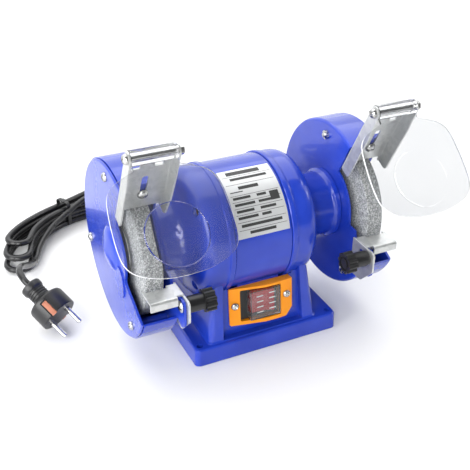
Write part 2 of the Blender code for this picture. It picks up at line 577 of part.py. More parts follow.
def make_switch():
    """Raised orange bezel with two screws, the switch body, its red rocker and the clear splash cover."""
    low, high = -20.0, 17.8
    plan = [(-32.0, -GAP), (-32.0, -1.8), (1.0, -9.5), (16.0, -9.5), (28.8, -8.2), (28.8, -GAP)]
    bezel = prism("switch_bezel", plan, low, high, "orange_plastic", "Z", PANEL, -PANEL_LEAN)
    corner = [(21.5, low - 1), (30.0, low - 1), (30.0, low + 9.5)]
    cut(bezel, prism("corner", corner, -30, 10, "orange_plastic", "Y", PANEL, -PANEL_LEAN))
    cut(bezel, block("window", (-22.0, -30, -16.5), (17.0, 5, 15.5), "orange_plastic", PANEL, -PANEL_LEAN))
    for number, ((x, z), seat) in enumerate(zip(PANEL_SCREWS, (4.3, 9.2)), 1):
        cut(bezel, rod("screw_hole", 2.0, -20, 5, "orange_plastic", "Y", (x, z), 12, PANEL, -PANEL_LEAN))
        sections = []
        for depth, radius in ((-7.0, 1.7), (seat, 1.7), (seat, 3.6), (seat + 1.4, 3.2), (seat + 2.0, 1.5)):
            sections.append([(x + a, -depth, z + b) for a, b in arc((0, 0), radius, 0, 330, 11)])
        loft(f"bezel_screw_{number}", sections, "zinc_plate", PANEL, -PANEL_LEAN)

    body = block("switch_body", (-20.0, -1.5, -13.5), (15.2, 4.8, 12.9), "black_plastic", PANEL, -PANEL_LEAN)
    join(body, block("rear", (-20.0, 4.0, -13.5), (15.2, 11.5, 8.0), "black_plastic", PANEL, -PANEL_LEAN))
    join(body, block("frame", (-21.6, -2.4, -16.1), (16.6, -GAP, 15.1), "black_plastic", PANEL, -PANEL_LEAN))
    cut(body, block("well", (-13.6, -12.0, -12.0), (14.2, 3.2, 12.0), "black_plastic", PANEL, -PANEL_LEAN))

    cover = block("splash_cover", (-14.2, -9.6, -15.4), (16.2, -2.7, 13.8), "clear_plastic", PANEL, -PANEL_LEAN)
    cut(cover, block("inside", (-13.2, -8.6, -14.4), (15.2, -1.0, 12.8), "clear_plastic", PANEL, -PANEL_LEAN))

    pivot_x, pivot_y = ROCKER_PIVOT
    rest = math.radians(-ROCKER_TRAVEL / 2)
    outline = []
    for x, y in ((-11.2, 2.0), (-11.2, -3.6), (-10.6, -4.0), (0.0, -2.4), (10.6, -4.0), (11.2, -3.6), (11.2, 2.0)):
        outline.append((x * math.cos(rest) - y * math.sin(rest), x * math.sin(rest) + y * math.cos(rest)))
    lean = math.radians(PANEL_LEAN)
    pivot = (PANEL[0] + pivot_x, PANEL[1] + pivot_y * math.cos(lean), PANEL[2] - pivot_y * math.sin(lean))
    prism("rocker", outline, -11.0, 11.0, "red_plastic", "Z", pivot, -PANEL_LEAN)


def make_wiring():
    """Motor capacitor in the base, the cord's gland at the back, the two leads, the hank, its tie and the plug."""
    block("capacitor", (-22, -10, 1.8), (20, 8, 28), "white_plastic")

    x, y, z = GLAND
    profile = [(0.0, 9.0), (2.6, 9.0), (3.4, 8.0), (3.4, 6.6), (GLAND_LENGTH, 4.4), (GLAND_LENGTH, 0.0),
               (-8.0, 0.0), (-8.0, 5.2), (0.0, 5.2)]
    gland = turned("cord_gland", profile, "black_rubber", 20, GLAND)
    gland.rotation_euler = (0, 0, math.radians(90))

    tube("power_cord", LEAD_FROM_GLAND, CORD_R, "black_rubber")
    tube("plug_lead", LEAD_TO_PLUG, CORD_R, "black_rubber")

    line = smooth([(x, y, 0) for x, y, half in HANK_LINE], 2)
    widths = [point.x for point in smooth([(half, 0, 0) for x, y, half in HANK_LINE], 2)]
    left, right = [], []
    for i, point in enumerate(line):
        ahead = (line[min(i + 1, len(line) - 1)] - line[max(i - 1, 0)]).normalized()
        across = Vector((-ahead.y, ahead.x, 0)) * widths[i]
        left.append((point + across).xy)
        right.append((point - across).xy)
    ends = []
    for tip, near in ((line[-1], line[-2]), (line[0], line[1])):
        out = tip - near
        heading = math.degrees(math.atan2(out.y, out.x))
        ends.append(arc(tip.xy, widths[len(line) - 1 if tip is line[-1] else 0], heading - 70, heading + 70, 7))
    outline = [tuple(point) for point in right] + ends[0] + [tuple(point) for point in left[::-1]] + ends[1]
    prism("cord_hank", outline, HANK_BOTTOM, HANK_TOP, "black_rubber", "Z")

    across = 9.0 + 0.5
    tie = block("cord_tie", (-2.5, -across - 1.1, 0.1), (2.5, across + 1.1, HANK_TOP + 1.5), "black_plastic",
                (*TIE_AT, 0))
    cut(tie, block("opening", (-5, -across, HANK_BOTTOM - 0.4), (5, across, HANK_TOP + 0.4), "black_plastic",
                   (*TIE_AT, 0)))
    middle = HANK_LINE.index((-109, 241, 9))
    ahead = Vector(HANK_LINE[middle + 1]) - Vector(HANK_LINE[middle - 1])
    tie.rotation_euler = (0, 0, math.atan2(ahead.y, ahead.x))
    make_plug()


def make_plug():
    """Earthed plug lying on the floor: a round body with a waist and grip, and two pins."""
    heading, dip, roll = (math.radians(a) for a in (PLUG_HEADING, PLUG_DIP, PLUG_ROLL))
    ahead = Vector((math.cos(dip) * math.cos(heading), math.cos(dip) * math.sin(heading), -math.sin(dip)))
    level = Vector((math.sin(heading), -math.cos(heading), 0))
    under = level.cross(ahead).normalized()
    if under.z > 0:
        under = -under
    across = level * math.cos(roll) + under * math.sin(roll)
    turn = Matrix((ahead, across, ahead.cross(across))).transposed().to_euler()

    body = turned("plug", [(0, PLUG_R - 0.8), (-0.8, PLUG_R), (-19.0, PLUG_R), (-21.0, PLUG_R - 1.5), (-23.5, 9.0),
                           (-34.0, 8.2), (-36.0, 10.4), (-41.2, 10.4), (-42.0, 9.4), (-42.0, 0.0), (0.0, 0.0)],
                  "black_plastic", 28, PLUG_FACE)
    for side in (-1, 1):
        groove = block("groove", (-16.0, -3.2, min(side * 15.6, side * 22)), (2.0, 3.2, max(side * 15.6, side * 22)),
                       "black_plastic", PLUG_FACE)
        cut(body, groove)
        cut(body, rod("pin_hole", 2.7, -6.0, 5.0, "black_plastic", "X", (side * PIN_OFFSET, 0), 12, PLUG_FACE))
    body.rotation_euler = turn
    for side, word in ((-1, "a"), (1, "b")):
        pin = prism(f"plug_pin_{word}", arc((side * PIN_OFFSET, 0), 2.4, 0, 330, 11), -5.7, 19.0, "brass", "X",
                    PLUG_FACE)
        pin.rotation_euler = turn


# ---------------------------------------------------------------- build

def clear_scene():
    for obj in list(bpy.data.objects):
        bpy.data.objects.remove(obj)


def main():
    clear_scene()
    make_base()
    make_base_plate()
    make_motor()
    make_label()
    make_rotor()
    for side, word in ((-1, "left"), (1, "right")):
        make_guard_housing(side, word)
        make_guard_cover(side, word)
        make_tool_rest(side, word)
        make_bracket(side, word)
        make_shield(side, word)
    make_switch()
    make_wiring()


main()
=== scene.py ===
"""Looks of the bench grinder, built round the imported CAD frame.

X runs along the shaft, the front is -Y and Z is up. Shapes are drawn in millimetres and scaled to
metres as each mesh is made. Angles about the shaft start at the front and rise over the top.
"""
import math

import bmesh
import bpy
from mathutils import Matrix, Vector


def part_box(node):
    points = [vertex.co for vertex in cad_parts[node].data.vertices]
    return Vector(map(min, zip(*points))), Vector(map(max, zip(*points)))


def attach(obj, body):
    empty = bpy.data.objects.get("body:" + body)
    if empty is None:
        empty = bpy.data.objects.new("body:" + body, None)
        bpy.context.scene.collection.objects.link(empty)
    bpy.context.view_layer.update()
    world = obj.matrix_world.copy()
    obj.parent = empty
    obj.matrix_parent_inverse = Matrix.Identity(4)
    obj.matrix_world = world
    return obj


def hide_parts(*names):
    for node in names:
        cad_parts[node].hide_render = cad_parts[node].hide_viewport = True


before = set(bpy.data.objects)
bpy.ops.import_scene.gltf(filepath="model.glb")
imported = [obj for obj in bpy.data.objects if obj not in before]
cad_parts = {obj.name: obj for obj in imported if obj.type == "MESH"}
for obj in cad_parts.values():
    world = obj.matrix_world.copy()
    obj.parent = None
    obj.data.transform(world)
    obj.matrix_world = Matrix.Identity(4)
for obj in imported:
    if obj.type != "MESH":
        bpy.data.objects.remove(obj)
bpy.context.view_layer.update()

MM = 0.001
SIDES = ((-1, "left"), (1, "right"))
AXIS = 0.01  # radius that stands for a point on the axis of a turned profile
SHARP = 32  # edges that turn by more than this many degrees stay sharp
MERGE = 0.0005  # vertices closer than this become one


def box_mm(node):
    """Lowest and highest corner of a CAD node, in millimetres."""
    low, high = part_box(node)
    return Vector(low) / MM, Vector(high) / MM


# ---- places and sizes from the frame

WHEEL_LOW, WHEEL_HIGH = box_mm("wheel_right")
HOUSING_LOW, HOUSING_HIGH = box_mm("guard_housing_right")
TUBE_LOW, TUBE_HIGH = box_mm("motor_tube")
BASE_HIGH = box_mm("base")[1]
REST_LOW, REST_HIGH = box_mm("tool_rest_right")
LABEL_LOW, LABEL_HIGH = box_mm("rating_plate")
GLAND_LOW, GLAND_HIGH = box_mm("cord_gland")

SHAFT_Z = (WHEEL_LOW.z + WHEEL_HIGH.z) / 2
WHEEL_X = (WHEEL_LOW.x + WHEEL_HIGH.x) / 2
WHEEL_R = (WHEEL_HIGH.z - WHEEL_LOW.z) / 2
WHEEL_HALF = (WHEEL_HIGH.x - WHEEL_LOW.x) / 2
WALL_X = HOUSING_LOW.x
HOUSING_EDGE = HOUSING_HIGH.x
GUARD_R = HOUSING_HIGH.y
COVER_FACE = box_mm("guard_cover_right")[0].x
TUBE_R = (TUBE_HIGH.z - TUBE_LOW.z) / 2
REST_Z = REST_HIGH.z


# ---- sizes that the frame doesn't give

# Guards: sheet, the angles where the opening ends, the cover and its screws. Wheels: bore.
WALL = 2
OPEN_TOP = 63
OPEN_BOTTOM = -26
COVER_R = 79.5
COVER_SCREWS = (92, 199, -50)
COVER_SCREW_R = 69
BORE_R = 6.7

# Brackets and shields: U runs up the leaning bracket from the shaft's height, N forwards from its
# middle plane, and S down the shield from its hinge.
LEAN = 27.3
BRACKET_HALF = 20.5
WEB_N = 3.6
SHEET = 1.5
BRACKET_SCREW_U = 82.5
HINGE_U = 138
HINGE_N = 10
SHIELD_DOWN = 45
LENS_S = 63
LENS_R = 25

# Rest bolt as (y, z). Switch panel: its middle, its lean, and each screw as (x, z, depth of seat).
REST_BOLT = (-82, 85)
PANEL = (-3, -50.5, 47)
PANEL_LEAN = 6
PANEL_SCREWS = ((-27, 0.5, 3.9), (22.8, 3, 9.1))
ROCKER_PIVOT = (0.6, -1.5)
ROCKER_TRAVEL = 20

# Base and motor: half sizes of the pedestal's foot and how much less they are at its top.
PEDESTAL_X = -3
PEDESTAL_FOOT = (55, 60)
PEDESTAL_TAPER = (7.6, 8)
PLINTH_HEIGHT = 17.6
FIXING_HOLE = (66.5, 57.5)
TIE_BOLTS = (47, 137, 227, 317)
TIE_BOLT_R = 49.5

# Lead: points of its centreline. The hank's middle line has (x, y, half width) at each point.
CORD_R = 3.25
CORD_EXIT = (-25, GLAND_HIGH.y - 6, 32)
LEAD_FROM_GLAND = ((-25, 88, 32), (-25, 98, 31.5), (-25, 110, 27), (-24.5, 122, 18),
                   (-23, 136, 8.5), (-20, 151, 4.2), (-15.5, 168, 3.6), (-10.5, 188, 3.6),
                   (-7.5, 208, 3.6), (-7, 226, 3.6), (-10, 241, 3.6), (-19, 254, 4.2))
LEAD_TO_PLUG = ((-121, 220, 17), (-131, 212.5, 14.5), (-140, 203, 12), (-148, 192, 10.5),
                (-155, 179, 9.8), (-159.8, 166, 10.2), (-165.3, 151.5, 13.4), (-171.5, 138, 19.2),
                (-178, 125, 27), (-184, 113, 35), (-189, 101, 41), (-191.5, 90, 43),
                (-190, 79.8, 40.2), (-186.7, 73.8, 36.6))
HANK_LINE = ((-180, 168, 16), (-171, 192, 15), (-156, 212, 12), (-134, 229, 9.6), (-109, 241, 9),
             (-82, 250, 12.5), (-54, 255, 20))
TIE_AT = (-109, 241, 15.2)

# Plug: the middle of its face, and its attitude in degrees.
PLUG_FACE = (-167.9, 41.2, 16.9)
PLUG_HEADING = -60
PLUG_DIP = 28
PLUG_ROLL = 40
PLUG_R = 18.4
PIN_OFFSET = 9.5

# Camera, in metres and degrees, fitted to points picked in the photo.
CAMERA_AT = (-0.2915, -0.5898, 0.4753)
CAMERA_TURN = -25.94
CAMERA_DOWN = 30.60
CAMERA_ROLL = 0.68
LENS_MM = 62.2
SENSOR_MM = 36


# ---- mesh helpers, in millimetres

def place_at(at, turn=0, axis="X"):
    """A place, turned about one of its axes by degrees."""
    return Matrix.Translation(Vector(at)) @ Matrix.Rotation(math.radians(turn), 4, axis)


def span(side, near, far):
    """Two distances from the machine's middle as the low and high X on one side of it."""
    return sorted((side * near, side * far))


def shifted(at, points):
    """Points of a turned profile, given from a place along X."""
    return [(at + x, radius) for x, radius in points]


WORLD = Matrix.Identity(4)
SHAFT = place_at((0, 0, SHAFT_Z))
ON_PANEL = place_at(PANEL, -PANEL_LEAN)


def store(name, bm, place=WORLD):
    """Link a bmesh drawn in millimetres as an object whose mesh lies where it belongs."""
    bmesh.ops.remove_doubles(bm, verts=bm.verts, dist=MERGE)
    bmesh.ops.recalc_face_normals(bm, faces=bm.faces)
    bmesh.ops.transform(bm, matrix=Matrix.Scale(MM, 4) @ place, verts=bm.verts)
    mesh = bpy.data.meshes.new(name)
    bm.to_mesh(mesh)
    bm.free()
    obj = bpy.data.objects.new(name, mesh)
    bpy.context.collection.objects.link(obj)
    return obj


def apply_modifiers(obj):
    """Keep what the modifiers make of an object as its mesh."""
    bpy.context.view_layer.update()
    graph = bpy.context.evaluated_depsgraph_get()
    mesh = bpy.data.meshes.new_from_object(obj.evaluated_get(graph), depsgraph=graph)
    obj.modifiers.clear()
    old = obj.data
    obj.data = mesh
    bpy.data.meshes.remove(old)


def combine(target, tools, operation):
    """Boolean the tools into a target, one after another, and remove them."""
    for tool in tools:
        step = target.modifiers.new(operation, "BOOLEAN")
        step.operation = operation
        step.solver = "EXACT"
        step.object = tool
        apply_modifiers(target)
        bpy.data.objects.remove(tool)
    return target


def cut(target, *tools):
    return combine(target, tools, "DIFFERENCE")


def join(target, *tools):
    return combine(target, tools, "UNION")


def soften(obj, width=0.4, segments=2, angle=28):
    """Round the edges that turn more than an angle."""
    step = obj.modifiers.new("soften", "BEVEL")
    step.width = width * MM
    step.segments = segments
    step.limit_method = "ANGLE"
    step.angle_limit = math.radians(angle)
    step.use_clamp_overlap = True
    apply_modifiers(obj)
    return obj


def polar(radius, degrees):
    """A point of the YZ plane about the shaft: 0 degrees is the front, 90 is straight up."""
    angle = math.radians(degrees)
    return (-radius * math.cos(angle), radius * math.sin(angle))


def arc(centre, radius, start, end, steps):
    """Points of a circle from one angle to another, both included."""
    points = []
    for i in range(steps + 1):
        angle = math.radians(start + (end - start) * i / steps)
        points.append((centre[0] + radius * math.cos(angle), centre[1] + radius * math.sin(angle)))
    return points


def circle(centre, radius, steps):
    return arc(centre, radius, 0, 360 - 360 / steps, steps - 1)


def rounded_rectangle(half_x, half_y, corner, steps=5, centre=(0, 0)):
    points = []
    for sx, sy, start in ((1, 1, 0), (-1, 1, 90), (-1, -1, 180), (1, -1, 270)):
        middle = (centre[0] + sx * (half_x - corner), centre[1] + sy * (half_y - corner))
        points += arc(middle, corner, start, start + 90, steps)
    return points


def smooth(points, per_stretch):
    """A smooth curve through the points, whose ends run straight on."""
    padded = [Vector(points[0]) * 2 - Vector(points[1])]
    padded += [Vector(point) for point in points]
    padded += [Vector(points[-1]) * 2 - Vector(points[-2])]
    curve = []
    for a, b, c, d in zip(padded, padded[1:], padded[2:], padded[3:]):
        for i in range(per_stretch):
            t = i / per_stretch
            curve.append(((b * 2) + (c - a) * t + (a * 2 - b * 5 + c * 4 - d) * t * t
                          + (b * 3 - a - c * 3 + d) * t ** 3) / 2)
    curve.append(padded[-2])
    return curve


def smooth_profile(points, per_stretch):
    return [(p.x, p.y) for p in smooth([(a, b, 0) for a, b in points], per_stretch)]


def loft(name, sections, place=WORLD):
    """A closed solid through loops of points that all have the same count."""
    bm = bmesh.new()
    rings = [[bm.verts.new(point) for point in section] for section in sections]
    count = len(rings[0])
    for lower, upper in zip(rings, rings[1:]):
        for i in range(count):
            j = (i + 1) % count
            bm.faces.new((lower[i], lower[j], upper[j], upper[i]))
    bm.faces.new(rings[0])
    bm.faces.new(rings[-1])
    return store(name, bm, place)


def prism(name, outline, low, high, axis="X", place=WORLD):
    """An outline extruded from low to high. It is (y, z) on X, (x, z) on Y and (x, y) on Z."""
    def point(a, b, depth):
        return {"X": (depth, a, b), "Y": (a, depth, b), "Z": (a, b, depth)}[axis]
    return loft(name, [[point(a, b, depth) for a, b in outline] for depth in (low, high)], place)


def block(name, low, high, place=WORLD):
    outline = [(low[0], low[1]), (high[0], low[1]), (high[0], high[1]), (low[0], high[1])]
    return prism(name, outline, low[2], high[2], "Z", place)


def rod(name, radius, low, high, axis="X", centre=(0, 0), steps=24, place=WORLD):
    return prism(name, circle(centre, radius, steps), low, high, axis, place)


def swept(name, profile, place=SHAFT, steps=96, side=1, start=0, end=360):
    """A closed profile of (x, radius) points carried round the X axis, fully or over an arc."""
    whole = end - start >= 360
    bm = bmesh.new()
    rings = []
    for i in range(steps if whole else steps + 1):
        angle = start + (end - start) * i / steps
        ring = []
        for x, radius in profile:
            y, z = polar(radius, angle)
            ring.append(bm.verts.new((side * x, y, z)))
        rings.append(ring)
    pairs = list(zip(rings, rings[1:] + rings[:1] if whole else rings[1:]))
    count = len(profile)
    for a, b in pairs:
        for i in range(count):
            j = (i + 1) % count
            bm.faces.new((a[i], a[j], b[j], b[i]))
    if not whole:
        bm.faces.new(rings[0])
        bm.faces.new(rings[-1])
    bmesh.ops.remove_doubles(bm, verts=bm.verts, dist=MERGE)
    bmesh.ops.dissolve_degenerate(bm, edges=bm.edges, dist=MERGE / 5)
    return store(name, bm, place)


def merge(target, *others):
    """Put several closed meshes into one object."""
    bm = bmesh.new()
    for obj in (target, *others):
        bm.from_mesh(obj.data)
    bm.to_mesh(target.data)
    bm.free()
    for obj in others:
        bpy.data.objects.remove(obj)
    return target


LOOKS = {}


def dress(obj, look, slot, *nodes, body="machine"):
    """Give a finished piece its material and shading, attach it to its body and hide the CAD nodes
    that it stands for; the slot is not used.
    """
    obj.data.materials.clear()
    obj.data.materials.append(LOOKS[look])
    if obj.type == "MESH":
        obj.data.shade_smooth()
        obj.data.set_sharp_from_angle(angle=math.radians(SHARP))
        obj.modifiers.new("even_normals", "WEIGHTED_NORMAL").keep_sharp = True
    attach(obj, body)
    if nodes:
        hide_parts(*nodes)
    return obj


# ---- materials

NOISE_RANGE = (0.3, 0.7)  # where nearly all values of a noise texture lie


def new_material(name):
    """A material, its tree, its shader and the coordinates that its textures use."""
    made = bpy.data.materials.new(name)
    made.use_nodes = True
    tree = made.node_tree
    coords = tree.nodes.new("ShaderNodeTexCoord")
    return made, tree, tree.nodes["Principled BSDF"], coords.outputs["Object"]


def noise(tree, coords, scale, detail=3):
    node = tree.nodes.new("ShaderNodeTexNoise")
    tree.links.new(coords, node.inputs["Vector"])
    node.inputs["Scale"].default_value = scale
    node.inputs["Detail"].default_value = detail
    return node.outputs[0]


def cells(tree, coords, scale, output="Color"):
    node = tree.nodes.new("ShaderNodeTexVoronoi")
    tree.links.new(coords, node.inputs["Vector"])
    node.inputs["Scale"].default_value = scale
    return node.outputs[output]


def ramp(tree, value, stops):
    node = tree.nodes.new("ShaderNodeValToRGB")
    tree.links.new(value, node.inputs["Fac"])
    elements = node.color_ramp.elements
    while len(elements) < len(stops):
        elements.new(0.5)
    for element, (position, colour) in zip(elements, stops):
        element.position = position
        element.color = (*colour, 1)
    return node.outputs["Color"]


def spread(tree, value, low, high, source=NOISE_RANGE):
    """Map a value from its source range to low and high."""
    node = tree.nodes.new("ShaderNodeMapRange")
    tree.links.new(value, node.inputs["Value"])
    node.inputs["From Min"].default_value = source[0]
    node.inputs["From Max"].default_value = source[1]
    node.inputs["To Min"].default_value = low
    node.inputs["To Max"].default_value = high
    return node.outputs["Result"]


def bump(tree, shader, height, strength, distance_mm):
    node = tree.nodes.new("ShaderNodeBump")
    tree.links.new(height, node.inputs["Height"])
    node.inputs["Strength"].default_value = strength
    node.inputs["Distance"].default_value = distance_mm * MM
    tree.links.new(node.outputs["Normal"], shader.inputs["Normal"])


def pits(tree, coords, scale):
    """How far each point is from the middle of its cell."""
    return cells(tree, coords, scale, "Distance")


def textured(name, colour, stops, gloss_scale, rough, relief, strength, height, **sockets):
    """A material with varied colour, gloss and relief; colour and relief are (texture, scale)."""
    made, tree, shader, coords = new_material(name)
    (pattern, scale), (grain, grain_scale) = colour, relief
    tree.links.new(ramp(tree, pattern(tree, coords, scale), stops), shader.inputs["Base Color"])
    tree.links.new(spread(tree, noise(tree, coords, gloss_scale), *rough),
                   shader.inputs["Roughness"])
    bump(tree, shader, grain(tree, coords, grain_scale), strength, height)
    for socket, value in sockets.items():
        shader.inputs[socket.replace("_", " ")].default_value = value
    return made


def surface(name, dark, light, rough, grain, height, mottle=25, strength=0.4, **sockets):
    """Paint, plastic, rubber and plain metal: a mottled colour, uneven gloss and a fine grain."""
    return textured(name, (noise, mottle), ((0.35, dark), (0.65, light)), mottle * 3, rough,
                    (noise, grain), strength, height, **sockets)


def clear_plastic(name, haze):
    """Clear moulded plastic with faint handling marks."""
    return textured(name, (noise, 12), ((0.3, (0.84, 0.85, 0.86)), (0.7, (0.88, 0.885, 0.89))), 40,
                    (0, 0.02), (noise, 60), 0.05, 0.05, Transmission_Weight=1 - haze, IOR=1.49)


def make_looks():
    """Every material, by the name that dress() is given."""
    blue = dict(rough=(0.20, 0.27), grain=420, height=0.03, strength=0.25, Coat_Weight=0.4,
                Coat_Roughness=0.05, Specular_IOR_Level=0.35)
    crystals = ((0.1, (0.52, 0.53, 0.53)), (0.9, (0.64, 0.65, 0.64)))
    grit = ((0.15, (0.13, 0.14, 0.145)), (0.55, (0.27, 0.28, 0.285)), (0.92, (0.56, 0.57, 0.57)))
    return {
        "blue": surface("blue_enamel", (0.010, 0.036, 0.38), (0.014, 0.047, 0.45), **blue),
        # Zinc-plated sheet has soft crystals and a faint rolled grain.
        "zinc": textured("galvanised", (cells, 260), crystals, 90, (0.30, 0.42), (noise, 700), 0.25,
                         0.03, Metallic=0.75),
        "steel": surface("turned_steel", (0.44, 0.44, 0.44), (0.58, 0.58, 0.57), (0.18, 0.28), 900,
                         0.02, Metallic=1),
        # Bonded grit has pits between its light and dark grains.
        "stone": textured("grindstone", (cells, 1150), grit, 300, (0.80, 0.98), (pits, 900), 0.8,
                          0.35),
        "clear": clear_plastic("clear_shield", 0.02),
        "cover": clear_plastic("clear_switch_cover", 0.03),
        "rib": clear_plastic("frosted_ribs", 0.65),
        # Hazy whitish plastic for the shield's cut edge: a painted highlight for the light that the
        # edge gathers.
        "edge": clear_plastic("shield_edge_painted_highlight", 0.75),
        "orange": surface("orange_moulding", (0.78, 0.245, 0.004), (0.88, 0.30, 0.007),
                          (0.34, 0.42), 800, 0.05, Specular_IOR_Level=0.3),
        "black": surface("black_moulding", (0.007, 0.007, 0.008), (0.015, 0.015, 0.016),
                         (0.28, 0.40), 900, 0.05),
        "red": surface("red_moulding", (0.46, 0.004, 0.012), (0.60, 0.008, 0.018), (0.22, 0.30),
                       500, 0.02),
        "rubber": surface("black_sheath", (0.006, 0.006, 0.007), (0.012, 0.012, 0.013),
                          (0.24, 0.34), 1200, 0.04),
        "foil": surface("label_foil", (0.56, 0.57, 0.58), (0.64, 0.65, 0.65), (0.30, 0.38), 600,
                        0.01, Metallic=0.35),
        "ink": surface("label_ink", (0.02, 0.02, 0.02), (0.04, 0.04, 0.04), (0.45, 0.55), 900,
                       0.01),
        "copper": surface("varnished_copper", (0.50, 0.18, 0.07), (0.66, 0.28, 0.12), (0.28, 0.40),
                          500, 0.4, Metallic=1, strength=0.9),
        "lamination": surface("laminated_steel", (0.24, 0.25, 0.27), (0.36, 0.37, 0.39),
                              (0.40, 0.55), 700, 0.2, Metallic=1),
        "clip": surface("earth_clip", (0.22, 0.08, 0.05), (0.34, 0.13, 0.08), (0.25, 0.35), 600,
                        0.02, Metallic=0.6),
        "nickel": surface("nickel_pins", (0.70, 0.69, 0.66), (0.80, 0.79, 0.76), (0.14, 0.22), 900,
                          0.01, Metallic=1),
        "white": surface("white_moulding", (0.70, 0.70, 0.67), (0.80, 0.80, 0.77), (0.35, 0.45),
                         700, 0.04),
    }


# ---- camera, light and floor

def make_camera():
    data = bpy.data.cameras.new("camera")
    data.lens = LENS_MM
    data.sensor_width = SENSOR_MM
    data.clip_start = 0.01
    camera = bpy.data.objects.new("camera", data)
    turn = (Matrix.Rotation(math.radians(CAMERA_TURN), 4, "Z")
            @ Matrix.Rotation(math.radians(90 - CAMERA_DOWN), 4, "X")
            @ Matrix.Rotation(math.radians(CAMERA_ROLL), 4, "Z"))
    camera.matrix_world = Matrix.Translation(Vector(CAMERA_AT)) @ turn
    bpy.context.collection.objects.link(camera)
    bpy.context.scene.camera = camera


def softbox(name, at, towards, size, power):
    data = bpy.data.lights.new(name, "AREA")
    data.shape = "RECTANGLE"
    data.size, data.size_y = size
    data.energy = power
    light = bpy.data.objects.new(name, data)
    light.location = at
    light.rotation_euler = (Vector(towards) - Vector(at)).to_track_quat("-Z", "Y").to_euler()
    bpy.context.collection.objects.link(light)


def make_studio():
    """Pale floor, five softboxes, and surroundings brighter at the back and to the camera."""
    half_floor, floor_gap = 4000, 0.2
    bm = bmesh.new()
    bmesh.ops.create_grid(bm, x_segments=2, y_segments=2, size=half_floor)
    floor = store("floor", bm, Matrix.Translation(Vector((0, 0, -floor_gap))))
    look = surface("pale_floor", (0.765, 0.765, 0.765), (0.785, 0.785, 0.785), (0.45, 0.55), 60,
                   0.02, mottle=1.5)
    floor.data.materials.append(look)

    world = bpy.data.worlds.new("studio")
    bpy.context.scene.world = world
    world.use_nodes = True
    tree = world.node_tree
    background = tree.nodes["Background"]
    background.inputs["Color"].default_value = (0.97, 0.985, 1, 1)
    coords = tree.nodes.new("ShaderNodeTexCoord")
    split = tree.nodes.new("ShaderNodeSeparateXYZ")
    tree.links.new(coords.outputs["Generated"], split.inputs["Vector"])
    backdrop = spread(tree, split.outputs["Y"], 0.16, 1.5, (0.1, 0.8))
    seen = tree.nodes.new("ShaderNodeLightPath")
    brighter = tree.nodes.new("ShaderNodeMath")
    brighter.operation = "MAXIMUM"
    tree.links.new(seen.outputs["Is Camera Ray"], brighter.inputs[0])
    tree.links.new(backdrop, brighter.inputs[1])
    tree.links.new(brighter.outputs["Value"], background.inputs["Strength"])
    middle = (0, 0, 0.1)
    softbox("overhead_softbox", (0, 1.2, 2.6), (0, 0.7, 0), (4.6, 3.2), 92)
    softbox("left_softbox", (-1.15, -0.25, 0.55), middle, (0.7, 0.9), 14)
    softbox("front_softbox", (-0.95, -1.4, 1.1), middle, (0.6, 0.6), 17)
    softbox("low_softbox", (-0.75, -1.05, 0.3), middle, (0.5, 0.35), 4)
    softbox("right_softbox", (1.3, -0.3, 0.9), middle, (0.35, 0.8), 5)
    bpy.context.scene.view_settings.view_transform = "Standard"


# ---- cord and plug

def hank_turns():
    """The folded turns, from the gland's lead round to the lead that leaves for the plug.

    Each turn runs out on the front side, folds at the left and comes back on the far side. The
    layers nest in the grooves of the one below, so they rise by less than a diameter.
    """
    line = smooth([(x, y, 0) for x, y, _ in HANK_LINE], 5)[::-1]
    halves = [p.x for p in smooth([(half, 0, 0) for _, _, half in HANK_LINE], 5)][::-1]

    def station(i):
        """The hank's middle, its directions along and across, and the reach to its outer strand."""
        j, k = min(i + 1, len(line) - 1), max(i - 1, 0)
        ahead = (line[j] - line[k]).normalized()
        return line[i], ahead, Vector((ahead.y, -ahead.x, 0)), halves[i] - CORD_R - 0.2

    def run(first, last, side, height, shift):
        """Points along the hank, to one side of its middle line, at a height."""
        step = 3 if last > first else -3
        points = []
        for i in range(first, last, step):
            middle, _, across, reach = station(i)
            points.append(middle + across * (side * reach + shift) + Vector((0, 0, height)))
        return points

    def fold(at, way, height, rise, shift):
        """Half a circle from one side to the other, at an end of the hank."""
        middle, ahead, across, reach = station(at)
        points = []
        for degrees in (12, 56, 90, 124, 168):
            angle = math.radians(degrees)
            aside = across * (-way * math.cos(angle) * reach + shift)
            offset = aside + ahead * (way * math.sin(angle) * reach)
            points.append(middle + offset + Vector((0, 0, height + rise * degrees / 180)))
        return points

    end = len(line) - 1
    left_folds = (end, end - 3, end - 1, end - 5)
    right_folds = (0, 2, 1, 3, 0)
    lowest, sideways, rise = CORD_R + 0.4, 0.8, 1.2
    pitch = 2 * CORD_R * 0.866
    turns = []
    for number, left in enumerate(left_folds):
        height = lowest + pitch * number
        shift = sideways if number % 2 else -sideways
        start, right = right_folds[number], right_folds[number + 1]
        turns += run(start, left - 1, -1, height, shift)
        turns += fold(left, 1, height, rise, shift)
        turns += run(left - 2, right + 1, 1, height + rise, shift)
        turns += fold(right, -1, height + rise, pitch - rise, shift)
    turns += run(3, 9, -1, lowest + pitch * len(left_folds), -sideways)
    return turns


def make_cord():
    """The mains lead, as one curve from the gland through the hank to the plug."""
    points = [Vector(p) for p in (CORD_EXIT, *LEAD_FROM_GLAND)]
    points += hank_turns()
    points += [Vector(p) for p in LEAD_TO_PLUG]
    line = smooth(points, 6)
    data = bpy.data.curves.new("mains_lead", "CURVE")
    data.dimensions = "3D"
    data.bevel_depth = CORD_R * MM
    data.bevel_resolution = 4
    data.use_fill_caps = True
    spline = data.splines.new("POLY")
    spline.points.add(len(line) - 1)
    for place, point in zip(spline.points, line):
        place.co = (*(point * MM), 1)
    lead = bpy.data.objects.new("mains_lead", data)
    bpy.context.collection.objects.link(lead)
    data.materials.append(LOOKS["rubber"])
    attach(lead, "machine")
    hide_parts("power_cord", "plug_lead", "cord_hank")
    return lead


